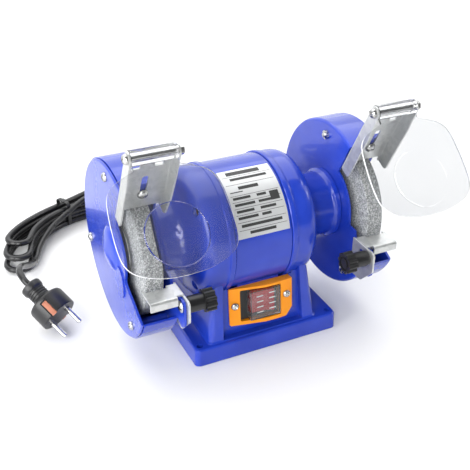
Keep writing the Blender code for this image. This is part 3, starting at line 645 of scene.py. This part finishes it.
def plug_place():
    """Where the plug lies: X towards the pins, Y from pin to pin."""
    heading, dip, roll = (math.radians(a) for a in (PLUG_HEADING, PLUG_DIP, PLUG_ROLL))
    ahead = Vector((math.cos(dip) * math.cos(heading), math.cos(dip) * math.sin(heading),
                    -math.sin(dip)))
    level = Vector((math.sin(heading), -math.cos(heading), 0))
    under = level.cross(ahead).normalized()
    if under.z > 0:
        under = -under
    across = level * math.cos(roll) + under * math.sin(roll)
    turn = Matrix((ahead, across, ahead.cross(across))).transposed().to_4x4()
    return Matrix.Translation(Vector(PLUG_FACE)) @ turn


def make_plug():
    """Earthed plug: round body with clip grooves, waist, ribbed grip and two pins."""
    place = plug_place()
    profile = [(0, AXIS), (0, PLUG_R - 1.2), (-0.4, PLUG_R - 0.4), (-1.4, PLUG_R), (-18.2, PLUG_R),
               (-20.2, PLUG_R - 0.9), (-21.6, PLUG_R - 3.4)]
    profile += smooth_profile([(-22.6, 11.6), (-24.5, 9.2), (-28, 8.3), (-33, 8.4)], 3)
    profile += [(-35.2, 10), (-36.2, 10.4), (-40.6, 10.4), (-41.6, 9.8), (-42, 8.6), (-42, AXIS)]
    body = swept("plug_body", profile, place, 64)
    for side in (-1, 1):
        low, high = span(side, 15.4, 24)
        cut(body, block("groove", (-16.4, -3.6, low), (2, 3.6, high), place))
        cut(body, rod("pin_seat", 3, -1.2, 3, "X", (side * PIN_OFFSET, 0), 24, place))
    soften(body, 0.3)
    dress(body, "black", "black_plastic", "plug")
    ribs = []
    for i in range(4):
        x = -25.2 - 2.6 * i
        rib = shifted(x, [(0, 7.6), (0, 9.2), (-0.9, 9.2), (-0.9, 7.6)])
        ribs.append(swept("rib", rib, place, 48))
    grip = soften(merge(*ribs), 0.15, 1)
    dress(grip, "black", "black_plastic")
    grip.name = "plug_grip_ribs"
    pieces = [body, grip]
    for side, word in ((-1, "a"), (1, "b")):
        low, high = span(side, 15.4, 16.8)
        clip = soften(block(f"earth_clip_{word}", (-15.6, -2.6, low), (0.4, 2.6, high), place), 0.3)
        dress(clip, "clip", "brass")
        profile = [(-5, AXIS), (-5, 2.4), (17.2, 2.4), (18.3, 1.9), (19, 0.9), (19, AXIS)]
        pin_place = place @ place_at((0, side * PIN_OFFSET, 0))
        pin = swept(f"plug_pin_steel_{word}", profile, pin_place, 32)
        dress(pin, "nickel", "brass", f"plug_pin_{word}")
        pieces += [clip, pin]
    return pieces


def make_tie():
    """Strap round the hank with a small buckle on top."""
    i = [tuple(p[:2]) for p in HANK_LINE].index(TIE_AT[:2])
    ahead = Vector(HANK_LINE[i + 1][:2]) - Vector(HANK_LINE[i - 1][:2])
    turn = Matrix.Rotation(math.atan2(ahead.y, ahead.x), 4, "Z")
    place = Matrix.Translation(Vector(TIE_AT)) @ turn
    strap = prism("hank_tie", rounded_rectangle(10.4, 15, 4.2), -2.2, 2.2, "X", place)
    cut(strap, prism("inside", rounded_rectangle(9.5, 14.1, 3.6), -5, 5, "X", place))
    join(strap, block("buckle", (-3, -3.4, 13.9), (3, 3.4, 15.3), place))
    soften(strap, 0.25)
    return dress(strap, "black", "black_plastic", "cord_tie")


def make_gland():
    """Ribbed bend relief at the back of the base."""
    x, z = (GLAND_LOW.x + GLAND_HIGH.x) / 2, (GLAND_LOW.z + GLAND_HIGH.z) / 2
    start, end = GLAND_LOW.y + 8, GLAND_HIGH.y
    profile = [(-8, AXIS), (-8, 5), (0.2, 5), (0.2, 8.6), (0.8, 9), (2.2, 9), (3, 8.4), (3.2, 6.8)]
    length = end - start
    ribs = 7
    for i in range(ribs):
        at = 4 + (length - 5) * i / ribs
        radius = 6.7 - 2.2 * i / ribs
        rib = [(0, radius), (2, radius - 0.2), (2.2, radius - 1), (3.1, radius - 1.1)]
        profile += shifted(at, rib)
    profile += [(length, 4.5), (length, 3.4), (length - 8, 3.3), (length - 8, AXIS)]
    gland = swept("bend_relief", profile, place_at((x, start, z), 90, "Z"), 48)
    dress(gland, "rubber", "black_rubber", "cord_gland")


# ---- base and motor

def make_base():
    """Cast base: plinth, tapered pedestal with two front ribs, saddle, fixing holes."""
    half_x, half_y, top = BASE_HIGH.x, BASE_HIGH.y, BASE_HIGH.z + 3
    levels = [(0, 0.5), (0.5, 0), (PLINTH_HEIGHT - 2.6, 0.35), (PLINTH_HEIGHT - 1.2, 0.8),
              (PLINTH_HEIGHT - 0.4, 1.5), (PLINTH_HEIGHT, 2.6)]
    base = loft("cast_base", [[(x, y, z) for x, y in rounded_rectangle(half_x - d, half_y - d, 5)]
                              for z, d in levels])

    def section(z, flare=0):
        """The pedestal's outline at a height, wider by a flare where it meets the plinth."""
        rise = (z - PLINTH_HEIGHT) / (top - PLINTH_HEIGHT)
        wide = PEDESTAL_FOOT[0] - PEDESTAL_TAPER[0] * rise + flare
        deep = PEDESTAL_FOOT[1] - PEDESTAL_TAPER[1] * rise + flare
        outline = rounded_rectangle(wide, min(deep, half_y - 1.5), 5, 5, (PEDESTAL_X, 0))
        return [(x, y, z) for x, y in outline]

    root = PLINTH_HEIGHT
    join(base, loft("pedestal", [section(12, 1.2), section(root + 0.3, 1.2),
                                 section(root + 1.6, 0.2), section(root + 3), section(top)]))
    cut(base, rod("saddle", TUBE_R + 0.4, -90, 90, "X", (0, SHAFT_Z), 128))
    for seam in (TUBE_LOW.x, TUBE_HIGH.x):
        cut(base, rod("lip_groove", TUBE_R + 1.9, seam - 7, seam + 7, "X", (0, SHAFT_Z), 128))
    front = [(-40.8, -29.2), (40.8, -29.2), (38, 36), (-38, 36)]
    cut(base, prism("panel_recess", front, -24, 0, "Y", ON_PANEL))
    cut(base, block("switch_opening", (-20.5, -5, -14), (15.7, 6, 13.4), ON_PANEL))
    notched = [(-half_x + 5, -half_y + 18), (-half_x + 18, -half_y + 18),
               (-half_x + 18, -half_y + 5)]
    outline = []
    for sx, sy in ((1, 1), (1, -1), (-1, -1), (-1, 1)):
        corner = [(sx * abs(x), sy * abs(y)) for x, y in notched]
        outline += corner[::-1] if sx * sy > 0 else corner
    cut(base, prism("bottom_recess", outline, -2, 2, "Z"))
    for sx in (-1, 1):
        for sy in (-1, 1):
            where = (sx * FIXING_HOLE[0], sy * FIXING_HOLE[1])
            cut(base, rod("fixing_hole", 2.8, -2, 30, "Z", where, 28))
    soften(base, 0.7, 3, 25)
    dress(base, "blue", "blue_casting", "base")


def make_motor():
    """Motor tube and the two end bells with their recessed tie bolts."""
    low, high = TUBE_LOW.x, TUBE_HIGH.x
    tube = swept("motor_shell", [(low, TUBE_R - 3.3), (low, TUBE_R - 0.5), (low + 0.5, TUBE_R),
                                 (high - 0.5, TUBE_R), (high, TUBE_R - 0.5), (high, TUBE_R - 3.3)],
                 steps=144)
    dress(tube, "blue", "blue_paint", "motor_tube")
    for side, word in SIDES:
        seam = (high if side > 0 else -low) + 0.3
        end = WALL_X - 0.3
        outer = shifted(seam, [(0, 56.5), (0, 60.4), (0.6, 61.2), (1.2, 61.3), (4.4, 61.3),
                               (5, 61.1), (5.5, 60.3)])
        shoulder = shifted(seam, [(6.5, 59.95), (17, 59.9), (22.5, 58.5), (26.8, 55.2),
                                  (29.2, 50.5), (30.7, 44), (33, 37.6), (37, 33.1), (42, 31)])
        outer += smooth_profile(shoulder + [(end - 8, 30.6)], 4)
        outer += shifted(end, [(-6.4, 31.4), (-5, 33), (-4.2, 33.5), (-0.4, 33.5), (0, 33.1)])
        inner = [(end, 10)]
        inner += shifted(seam, [(31.3, 10), (31.3, 17.5), (19.7, 17.5), (19.7, 21), (27, 23),
                                (27.4, 44), (24, 52), (16, 56.5)])
        bell = swept(f"end_shield_{word}", outer + inner, steps=128, side=side)
        heads = []
        for degrees in TIE_BOLTS:
            y, z = polar(TIE_BOLT_R, degrees)
            pocket = span(side, seam + 25.6, seam + 60)
            cut(bell, rod("bolt_pocket", 4.4, *pocket, "X", (y, z), 32, SHAFT))
            heads.append(pan_head("head", place_at((0, y, SHAFT_Z + z)), seam + 25, 3.4, 2, side))
        soften(bell, 0.35, 2, 40)
        dress(bell, "blue", "blue_casting", f"end_bell_{word}")
        bolts = merge(*heads)
        bolts.name = f"tie_bolts_{word}"
        dress(bolts, "steel", "bright_steel")


def pan_head(name, place, face, radius, height, side=1, cross=True):
    """A screw's domed head standing on a face at x, outwards along X, with its driver slot."""
    profile = [(face, AXIS), (face, radius)]
    for i in range(1, 6):
        angle = math.radians(18 * i)
        rounded = max(radius * math.cos(angle) ** 0.6, AXIS)
        profile.append((face + height * math.sin(angle), rounded))
    head = swept(name, profile, place, 32, side)
    depth = face + height * 0.45
    low, high = span(side, depth, face + height + 2)
    bars = [((low, -radius, -0.55), (high, radius, 0.55))]
    if cross:
        bars = [((low, -radius * 0.66, -0.55), (high, radius * 0.66, 0.55)),
                ((low, -0.55, -radius * 0.66), (high, 0.55, radius * 0.66))]
    for start, stop in bars:
        cut(head, block("slot", start, stop, place))
    return head


def make_label():
    """Foil plate bent round the tube, with ruled lines and bars in place of any wording."""
    low, high = LABEL_LOW.x, LABEL_HIGH.x
    radius = TUBE_R + 0.25
    top, bottom = 79, 16

    def patch(name, x0, x1, a0, a1, inner, outer):
        steps = max(int(abs(a1 - a0) / 3), 1)
        angles = [a0 + (a1 - a0) * i / steps for i in range(steps + 1)]
        outline = [polar(inner, a) for a in angles] + [polar(outer, a) for a in angles[::-1]]
        return prism(name, outline, x0, x1, "X", SHAFT)

    foil = patch("rating_foil", low, high, bottom, top, radius, radius + 0.4)
    soften(foil, 0.12, 1)
    dress(foil, "foil", "label_foil", "rating_plate")
    face = radius + 0.36
    print_marks = []
    width = high - low

    def bar(left, right, at, height):
        print_marks.append(patch("bar", low + width * left, low + width * right, at - height, at,
                                 face, face + 0.08))

    bar(0.14, 0.78, 76.5, 4.2)
    for at in (71, 62.5, 52, 46.5, 41, 35.5, 29.5, 23):
        bar(0.04, 0.96, at, 0.35)
    bar(0.16, 0.86, 69, 2.6)
    bar(0.24, 0.62, 60, 3)
    bar(0.06, 0.30, 55.6, 0.9)
    for row, at in enumerate((50.6, 45, 39.4, 34)):
        bar(0.07, 0.40 + 0.05 * (row % 2), at, 2.2)
        bar(0.52, 0.70 + 0.06 * (row % 3), at, 2.2)
    bar(0.76, 0.93, 50.6, 8)
    bar(0.10, 0.88, 27.6, 2.4)
    bar(0.24, 0.74, 21.4, 2.4)
    marks = merge(*print_marks)
    marks.name = "rating_print"
    dress(marks, "ink", "label_foil")


# ---- guards and wheels

def make_guard(side, word):
    """Pressed housing with a folded rim, its tabs, and the outer cover with a domed hub."""
    wall, edge, fold = WALL_X, HOUSING_EDGE, 3
    outside = [(wall + fold - a, GUARD_R - fold + b) for a, b in arc((0, 0), fold, 0, 90, 5)]
    inside = [(wall + fold - a, GUARD_R - fold + b) for a, b in arc((0, 0), fold - WALL, 90, 0, 3)]
    profile = [(wall, 24), *outside, (edge, GUARD_R), (edge, GUARD_R - WALL), *inside,
               (wall + WALL, 24)]
    housing = swept(f"guard_shell_{word}", profile, SHAFT, 110, side, OPEN_TOP, 360 + OPEN_BOTTOM)

    tab_y, tab_top, tab_bottom = REST_BOLT[0] - 6, -11, -39
    front = [polar(70, OPEN_TOP), polar(46, OPEN_TOP)] + [polar(46, a) for a in range(58, 3, -4)]
    front += [(-46, tab_top + 7.5), (-55, tab_top + 7), (-56.6, tab_top + 6), (-57.6, tab_top + 1),
              (-58.6, tab_top)]
    front += arc((tab_y + 5, tab_top - 5), 5, 90, 180, 5)
    front += arc((tab_y + 8, tab_bottom + 8), 8, 180, 262, 6)
    front += [polar(80, OPEN_BOTTOM), polar(60, -60), (10, -40), (40, 0), (10, 40), polar(60, 90)]
    join(housing, prism("front", front, *span(side, wall, wall + WALL), "X", SHAFT))
    column = span(side, wall + WALL / 2, edge)
    for degrees in COVER_SCREWS:
        join(housing, rod("column", 4, *column, "X", polar(COVER_SCREW_R, degrees), 28, SHAFT))
    on_bracket = place_at((side * WHEEL_X, 0, SHAFT_Z), LEAN)
    tab = rounded_rectangle(13, 7.5, 2.5, 4, (0, 85.5))
    join(housing, prism("bracket_tab", tab, -3.2, 0.6, "Y", on_bracket))
    through = span(side, wall - 5, wall + 6)
    cut(housing, rod("shaft_hole", 20, *through, "X", (0, 0), 64, SHAFT))
    bolt = (REST_BOLT[0], REST_BOLT[1] - SHAFT_Z)
    cut(housing, rod("rest_hole", 3.3, *through, "X", bolt, 24, SHAFT))
    soften(housing, 0.45, 2, 40)
    dress(housing, "blue", "blue_paint", f"guard_housing_{word}")

    face = COVER_FACE
    profile = shifted(face, [(0, 21), (0, COVER_R - 0.2), (0.5, COVER_R + 0.3),
                             (1.2, COVER_R + 0.2), (1.9, COVER_R - 0.6), (2.1, COVER_R - 1.6),
                             (2.1, 21.6)])
    dome = [(2.3, 20.6), (3.5, 19.2), (5.2, 16), (6.7, 11), (7.9, 6), (8.6, 2.5), (8.7, AXIS)]
    profile += smooth_profile(shifted(face, dome), 3)
    profile += shifted(face, [(6.9, AXIS), (6.4, 8), (3.9, 13.5), (0.9, 19), (0, 20.4)])
    cover = swept(f"guard_lid_{word}", profile, SHAFT, 120, side)
    window = [polar(36, a) for a in range(-20, 60, 4)]
    window += [polar(37, OPEN_TOP - 3), polar(39, OPEN_TOP - 0.8), polar(42, OPEN_TOP),
               polar(100, OPEN_TOP)]
    window += [polar(110, 20), polar(100, OPEN_BOTTOM), polar(42, OPEN_BOTTOM),
               polar(39, OPEN_BOTTOM + 0.8), polar(37, OPEN_BOTTOM + 2.5)]
    cut(cover, prism("window", window, *span(side, face - 5, face + 20), "X", SHAFT))
    boss = rounded_rectangle(12, 15.5, 11.5, 10, (-18.5, -22.5))
    join(cover, prism("boss", boss, *span(side, face + 1.5, face + 3.3), "X", SHAFT))
    soften(cover, 0.6, 3, 35)
    dress(cover, "blue", "blue_paint", f"guard_cover_{word}")

    for number, degrees in enumerate(COVER_SCREWS, 1):
        y, z = polar(COVER_SCREW_R, degrees)
        spot = place_at((0, y, SHAFT_Z + z), 20 * number)
        head = pan_head(f"lid_screw_{word}_{number}", spot, face + 2.3, 4.2, 2.7, side)
        nut = shifted(wall, [(-0.2, AXIS), (-0.2, 4.4), (-2.6, 4.2), (-3.4, 2.6), (-4.2, 2),
                             (-4.6, AXIS)])
        nut = swept("nut", nut, spot, 24, side)
        dress(merge(head, nut), "steel", "zinc_plate", f"cover_screw_{word}_{number}")


def make_wheel(side, word):
    """Grinding wheel, its two flanges and the spindle nut."""
    inner, outer, rim = WHEEL_X - WHEEL_HALF, WHEEL_X + WHEEL_HALF, WHEEL_R

    def turned(name, profile, steps, look, slot, node):
        piece = swept(f"{name}_{word}", profile, SHAFT, steps, side)
        dress(piece, look, slot, f"{node}_{word}", body="rotor")

    stone = shifted(inner, [(0, BORE_R), (0, rim - 1.2), (0.4, rim - 0.3), (1.2, rim)])
    stone += shifted(outer, [(-1.2, rim), (-0.4, rim - 0.3), (0, rim - 1.2), (0, BORE_R)])
    turned("grindstone", stone, 160, "stone", "grey_stone", "wheel")
    flange = shifted(inner, [(-0.3, 22), (-0.3, 29.6), (-0.7, 30), (-2.2, 30), (-2.6, 29.6),
                             (-3.2, 14), (-4.6, 12), (-4.6, BORE_R), (-1.3, BORE_R), (-1.3, 21)])
    turned("inside_flange", flange, 80, "steel", "bright_steel", "inner_flange")
    flange = shifted(outer, [(0.3, 20.5), (0.3, 27.6), (0.7, 28), (1.8, 27.9), (2.3, 27.3),
                             (3.5, 14), (3.5, BORE_R), (1.5, BORE_R), (1.5, 19)])
    turned("outside_flange", flange, 80, "steel", "bright_steel", "outer_flange")
    low, high = span(side, outer + 3.8, outer + 10.4)
    nut = prism(f"spindle_nut_{word}", circle((0, 0), 10.2, 6), low, high, "X", SHAFT)
    cut(nut, rod("thread", 6.1, low - 2, high + 2, "X", (0, 0), 32, SHAFT))
    soften(nut, 0.5, 2)
    dress(nut, "steel", "zinc_plate", f"wheel_nut_{word}", body="rotor")


# ---- tool rests

def make_rest(side, word):
    """Bent sheet rest, carriage bolt and star knob."""
    sheet, lip, slot_r = 1.8, 95.5, 3.3
    near, far = REST_LOW.x, REST_HIGH.x
    bolt_y, bolt_z = REST_BOLT
    fold = 2.6

    flange = [(-58, REST_Z - 1.2), (-89, REST_Z - 1.2)] + arc((-90, REST_Z - 4), 2, 90, 180, 4)
    flange += [(-92, 74.6), (-91.2, 73), (-76, 57.4), (-74, 56.5)]
    flange += arc((-60, 58.5), 2, 270, 360, 4)
    rest = prism(f"rest_sheet_{word}", flange, *span(side, near, near + sheet))
    top = [(near + 0.8, -61.5), (WHEEL_X - 9.5, -61.5), (WHEEL_X - 9, -64.5), (WHEEL_X + 9, -64.5),
           (WHEEL_X + 9.5, -61.5), (far - 1.5, -61.5), (far, -63), (far, -80.2), (lip, -80.2),
           (lip, -79), (near + 0.8, -79)]
    join(rest, prism("plate", [(side * x, y) for x, y in top], REST_Z - sheet, REST_Z, "Z"))
    front = [(-79, REST_Z)] + arc((-83 + fold, REST_Z - fold), fold, 90, 180, 6) + [(-83, 86.6)]
    front += [(-83 + sheet, 86.6)] + arc((-83 + fold, REST_Z - fold), fold - sheet, 180, 90, 3)
    front += [(-79, REST_Z - sheet)]
    join(rest, prism("lip", front, *span(side, lip, far)))
    slot = arc((bolt_y + 10.2, bolt_z), slot_r, -90, 90, 10)
    slot += arc((bolt_y - 1.2, bolt_z), slot_r, 90, 270, 10)
    cut(rest, prism("slot", slot, *span(side, near - 3, near + 5)))
    soften(rest, 0.45, 3, 35)
    dress(rest, "zinc", "zinc_plate", f"tool_rest_{word}", body=f"{word}_tool_rest")

    place = place_at((0, bolt_y, bolt_z))
    head = WALL_X + WALL + 0.3
    profile = [(68, AXIS), (68, 2.6), (68.5, 2.9)]
    profile += shifted(head, [(0, 2.9), (0, 5.2), (0.5, 5.4), (1.3, 4.8), (2.1, 3.2), (2.6, AXIS)])
    bolt = swept(f"rest_bolt_steel_{word}", profile, place, 40, side)
    low, high = span(side, head + 1.5, head + 4)
    cut(bolt, block("driver_slot", (low, -6, -0.7), (high, 6, 0.7), place))
    dress(bolt, "steel", "bright_steel", f"rest_bolt_{word}")

    foot = near - 0.3
    hub = shifted(foot, [(0, 3.2), (0, 6.2), (-0.8, 6.8), (-3, 7.2), (-17, 7.2), (-17, 3.2)])
    knob = swept(f"star_knob_{word}", hub, place, 48, side)
    star, flutes, step = [], 10, 2.5
    for i in range(144):
        flute = (0.5 - 0.5 * math.cos(math.radians(flutes * step * i))) ** 1.6
        star.append(polar(10.2 - 1.9 * flute, step * i))
    wheel = prism("star", star, *span(side, foot - 24, foot - 15), "X", place)
    cut(wheel, rod("blind_bore", 3.2, *span(side, foot - 20.6, foot - 10), "X", (0, 0), 24, place))
    join(knob, wheel)
    ring = shifted(foot, [(-22.6, 4.6), (-22.6, 7), (-26, 7), (-26, 4.6)])
    cut(knob, swept("face_ring", ring, place, 48, side))
    soften(knob, 0.35, 2, 30)
    dress(knob, "black", "black_plastic", f"rest_knob_{word}", body=f"{word}_rest_knob")


# ---- spark arrestors and eye shields

def make_arrestor(side, word):
    """Folded channel with slot, windows and hinge ears, and its clamping screw."""
    place = place_at((side * WHEEL_X, 0, SHAFT_Z), LEAN)
    half, fold = BRACKET_HALF, 2.4
    back, deep = WEB_N, 17
    left_fold, right_fold = (-half + fold, -back - fold), (half - fold, -back - fold)
    channel = [(-half, -deep), (-half, -back - fold)] + arc(left_fold, fold, 180, 90, 5)[1:]
    channel += arc(right_fold, fold, 90, 0, 5) + [(half, -deep), (half - SHEET, -deep)]
    channel += arc(right_fold, fold - SHEET, 0, 90, 3)
    channel += arc(left_fold, fold - SHEET, 90, 180, 3) + [(-half + SHEET, -deep)]
    bracket = prism(f"spark_guard_{word}", channel, 50, 150, "Z", place)
    ear = arc((-HINGE_N, HINGE_U), 6, 0, 180, 14)
    outline = [(-1, 58.5), (-1, 128), (-4.2, 130)] + ear
    outline += [(-16.2, 120), (-17.2, 113), (-17.2, 62.5), (-16.4, 60), (-14.2, 58.5)]
    combine(bracket, [prism("side_shape", outline, -40, 40, "X", place)], "INTERSECT")
    inside = half - SHEET - 1.2
    cut(bracket, block("web_bottom", (-inside, -7, 40), (inside, 0, 64.6), place))
    cut(bracket, block("web_top", (-inside, -7, 124), (inside, 0, 160), place))
    slot_r = 2.8
    slot = arc((0, BRACKET_SCREW_U - 1.7), slot_r, 180, 360, 10)
    slot += arc((0, BRACKET_SCREW_U + 20), slot_r, 0, 180, 10)
    cut(bracket, prism("slot", slot, -12, 0, "Y", place))
    for edge in (-1, 1):
        window = rounded_rectangle(3.6, 2.6, 0.8, 3, (edge * 9.5, 118.4))
        cut(bracket, prism("window", window, -12, 0, "Y", place))
    cut(bracket, rod("pin_hole", 2.4, -30, 30, "X", (-HINGE_N, HINGE_U), 24, place))
    soften(bracket, 0.3, 2, 40)
    dress(bracket, "zinc", "zinc_plate", f"spark_arrestor_{word}", body=f"{word}_spark_arrestor")

    seat = WEB_N + SHEET + 0.3
    across = place @ place_at((0, 0, BRACKET_SCREW_U), -90, "Z")
    head = pan_head(f"clamp_screw_{word}", across, seat, 4.8, 2.9, 1, cross=False)
    shank = rod("shank", 2, -6, seat - 0.1, "X", (0, 0), 24, across)
    dress(merge(head, shank), "steel", "zinc_plate", f"arrestor_screw_{word}")


def hinge_place(side):
    """The middle of the hinge bolt."""
    lean = math.radians(LEAN)
    y = -HINGE_N * math.cos(lean) - HINGE_U * math.sin(lean)
    z = SHAFT_Z - HINGE_N * math.sin(lean) + HINGE_U * math.cos(lean)
    return (side * WHEEL_X, y, z)


def make_shield(side, word):
    """Clear shield with a raised round lens and its hinge barrel, on a bolt with a nut."""
    place = place_at(hinge_place(side), -SHIELD_DOWN)
    half = smooth_profile([(18.3, -10.5), (29.5, -14.8), (38.5, -19.8), (43.6, -28), (45.8, -44),
                           (46.3, -64), (44.4, -77), (38, -85.2), (27, -90.3), (14, -93.2),
                           (0, -94)], 4)
    outline = [(18.3, -1)] + half + [(-x, s) for x, s in half[-2::-1]] + [(-18.3, -1)]
    shield = prism(f"clear_shield_{word}", outline, -1, 1, "Y", place)
    centre = place @ place_at((0, 0, -LENS_S), -90, "Z")
    lens = [(0.2, AXIS), (0.2, LENS_R), (1.3, LENS_R), (1.9, LENS_R - 0.8), (2.5, LENS_R * 0.6),
            (3, LENS_R * 0.3), (3.2, AXIS)]
    join(shield, swept("lens", lens, centre, 72))
    join(shield, rod("barrel", 6.4, -18.6, 18.6, "X", (0, 0), 40, place))
    cut(shield, rod("bore", 2.4, -30, 30, "X", (0, 0), 28, place))
    soften(shield, 0.35, 2, 40)
    dress(shield, "clear", "clear_plastic", f"eye_shield_{word}", body=f"{word}_eye_shield")

    # The cut edge is given a hazy whitish plastic as a painted highlight for the light that the
    # edge gathers: faces outside the lens and barrel that aren't flat.
    shield.data.materials.append(LOOKS["edge"])
    below_barrel, round_lens, flatness = -9, LENS_R + 1.5, 0.85
    to_sheet = place.inverted()
    turn = to_sheet.to_3x3().normalized()
    for face in shield.data.polygons:
        spot = to_sheet @ (face.center / MM)
        on_rim = spot.z < below_barrel and math.hypot(spot.x, spot.z + LENS_S) > round_lens
        if on_rim and abs((turn @ face.normal).y) < flatness:
            face.material_index = 1

    head = pan_head(f"hinge_pin_{word}", place, 20.8, 4.4, 3.4, -1)
    shank = rod("shank", 2, -21, 24.6, "X", (0, 0), 28, place)
    nut = prism("nut", circle((0, 0), 4.3, 6), 20.9, 24, "X", place)
    soften(nut, 0.35, 2)
    dress(merge(head, shank, nut), "steel", "zinc_plate", f"hinge_bolt_{word}",
          body=f"{word}_spark_arrestor")


# ---- switch

def make_switch():
    """Orange bezel on two screws, black switch frame, red rocker and ribbed clear cover."""
    low, high = -20, 17.8
    plan = [(-32, -0.3), (-32, -1.8), (1, -9.5), (16, -9.5), (28.8, -8.2), (28.8, -0.3)]
    bezel = prism("orange_bezel", plan, low, high, "Z", ON_PANEL)
    corners = [[(21.5, low - 1), (30, low - 1), (30, low + 9.5)],
               [(-30, low - 1), (-33, low - 1), (-33, low + 2.4)],
               [(-30, high + 1), (-33, high + 1), (-33, high - 2)]]
    for corner in corners:
        cut(bezel, prism("corner", corner, -30, 10, "Y", ON_PANEL))
    opening = rounded_rectangle(19.5, 16, 1.2, 3, (-2.5, -0.5))
    cut(bezel, prism("window", opening, -30, 5, "Y", ON_PANEL))
    for x, z, seat in PANEL_SCREWS:
        cut(bezel, rod("screw_hole", 2, -20, 5, "Y", (x, z), 20, ON_PANEL))
        cut(bezel, rod("screw_seat", 4.3, -seat - 10, -seat + 0.4, "Y", (x, z), 32, ON_PANEL))
    soften(bezel, 0.9, 4, 20)
    dress(bezel, "orange", "orange_plastic", "switch_bezel")
    for number, (x, z, seat) in enumerate(PANEL_SCREWS, 1):
        spot = ON_PANEL @ place_at((x, 0, z), -90, "Z") @ place_at((0, 0, 0), 35)
        head = pan_head(f"panel_screw_{number}", spot, seat - 0.3, 3.7, 2.3, 1)
        dress(head, "steel", "zinc_plate", f"bezel_screw_{number}")

    body = block("rocker_frame", (-20, -1.5, -13.5), (15.2, 4.8, 12.9), ON_PANEL)
    join(body, block("rear", (-20, 4, -13.5), (15.2, 11.5, 8), ON_PANEL))
    join(body, block("frame", (-21.6, -2.4, -16.1), (16.6, -0.3, 15.1), ON_PANEL))
    cut(body, block("well", (-13.6, -12, -12), (14.2, 3.2, 12), ON_PANEL))
    soften(body, 0.3, 2)
    dress(body, "black", "black_plastic", "switch_body")

    cover = block("splash_cap", (-14.2, -9.6, -15.4), (16.2, -2.7, 13.8), ON_PANEL)
    cut(cover, block("inside", (-13.2, -8.6, -14.4), (15.2, -1, 12.8), ON_PANEL))
    soften(cover, 0.45, 3)
    ribs = []
    for row in range(4):
        for x in (-8, 4.5):
            z = 7.5 - 5.4 * row + (1.2 if x > 0 else 0)
            rib = block("rib", (x, -9.95, z), (x + 6.6, -9.4, z + 1), ON_PANEL)
            ribs.append(soften(rib, 0.2, 1))
    dress(cover, "cover", "clear_plastic", "splash_cover")
    ribs = merge(*ribs)
    ribs.name = "cap_ribs"
    dress(ribs, "rib", "clear_plastic")

    place = ON_PANEL @ place_at((*ROCKER_PIVOT, 0), -ROCKER_TRAVEL / 2, "Z")
    outline = [(-11.2, 2), (-11.2, -3.6), (-10.6, -4)]
    outline += smooth_profile([(-10.6, -4), (-5, -2.75), (0, -2.4), (5, -2.75), (10.6, -4)], 3)[1:]
    outline += [(11.2, -3.6), (11.2, 2)]
    rocker = soften(prism("red_rocker", outline, -11, 11, "Z", place), 0.5, 3)
    dress(rocker, "red", "red_plastic", "rocker", body="rocker_switch")


# ---- carried-over CAD nodes

def finish_cad():
    """Materials of the CAD nodes that are seen as they are."""
    kept = {"base_plate": "zinc", "stator_core": "lamination", "rotor_core": "lamination",
            "shaft": "steel", "capacitor": "white"}
    for _, word in SIDES:
        kept[f"winding_{word}"] = "copper"
        kept[f"bearing_{word}"] = "steel"
    for node, look in kept.items():
        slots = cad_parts[node].data.materials
        slots.clear()
        slots.append(LOOKS[look])


def main():
    LOOKS.update(make_looks())
    make_camera()
    make_studio()
    lead = make_cord()
    plug = make_plug()
    tie = make_tie()
    make_gland()
    make_base()
    make_motor()
    make_label()
    for side, word in SIDES:
        make_guard(side, word)
        make_wheel(side, word)
        make_rest(side, word)
        make_arrestor(side, word)
        make_shield(side, word)
    make_switch()
    finish_cad()


main()
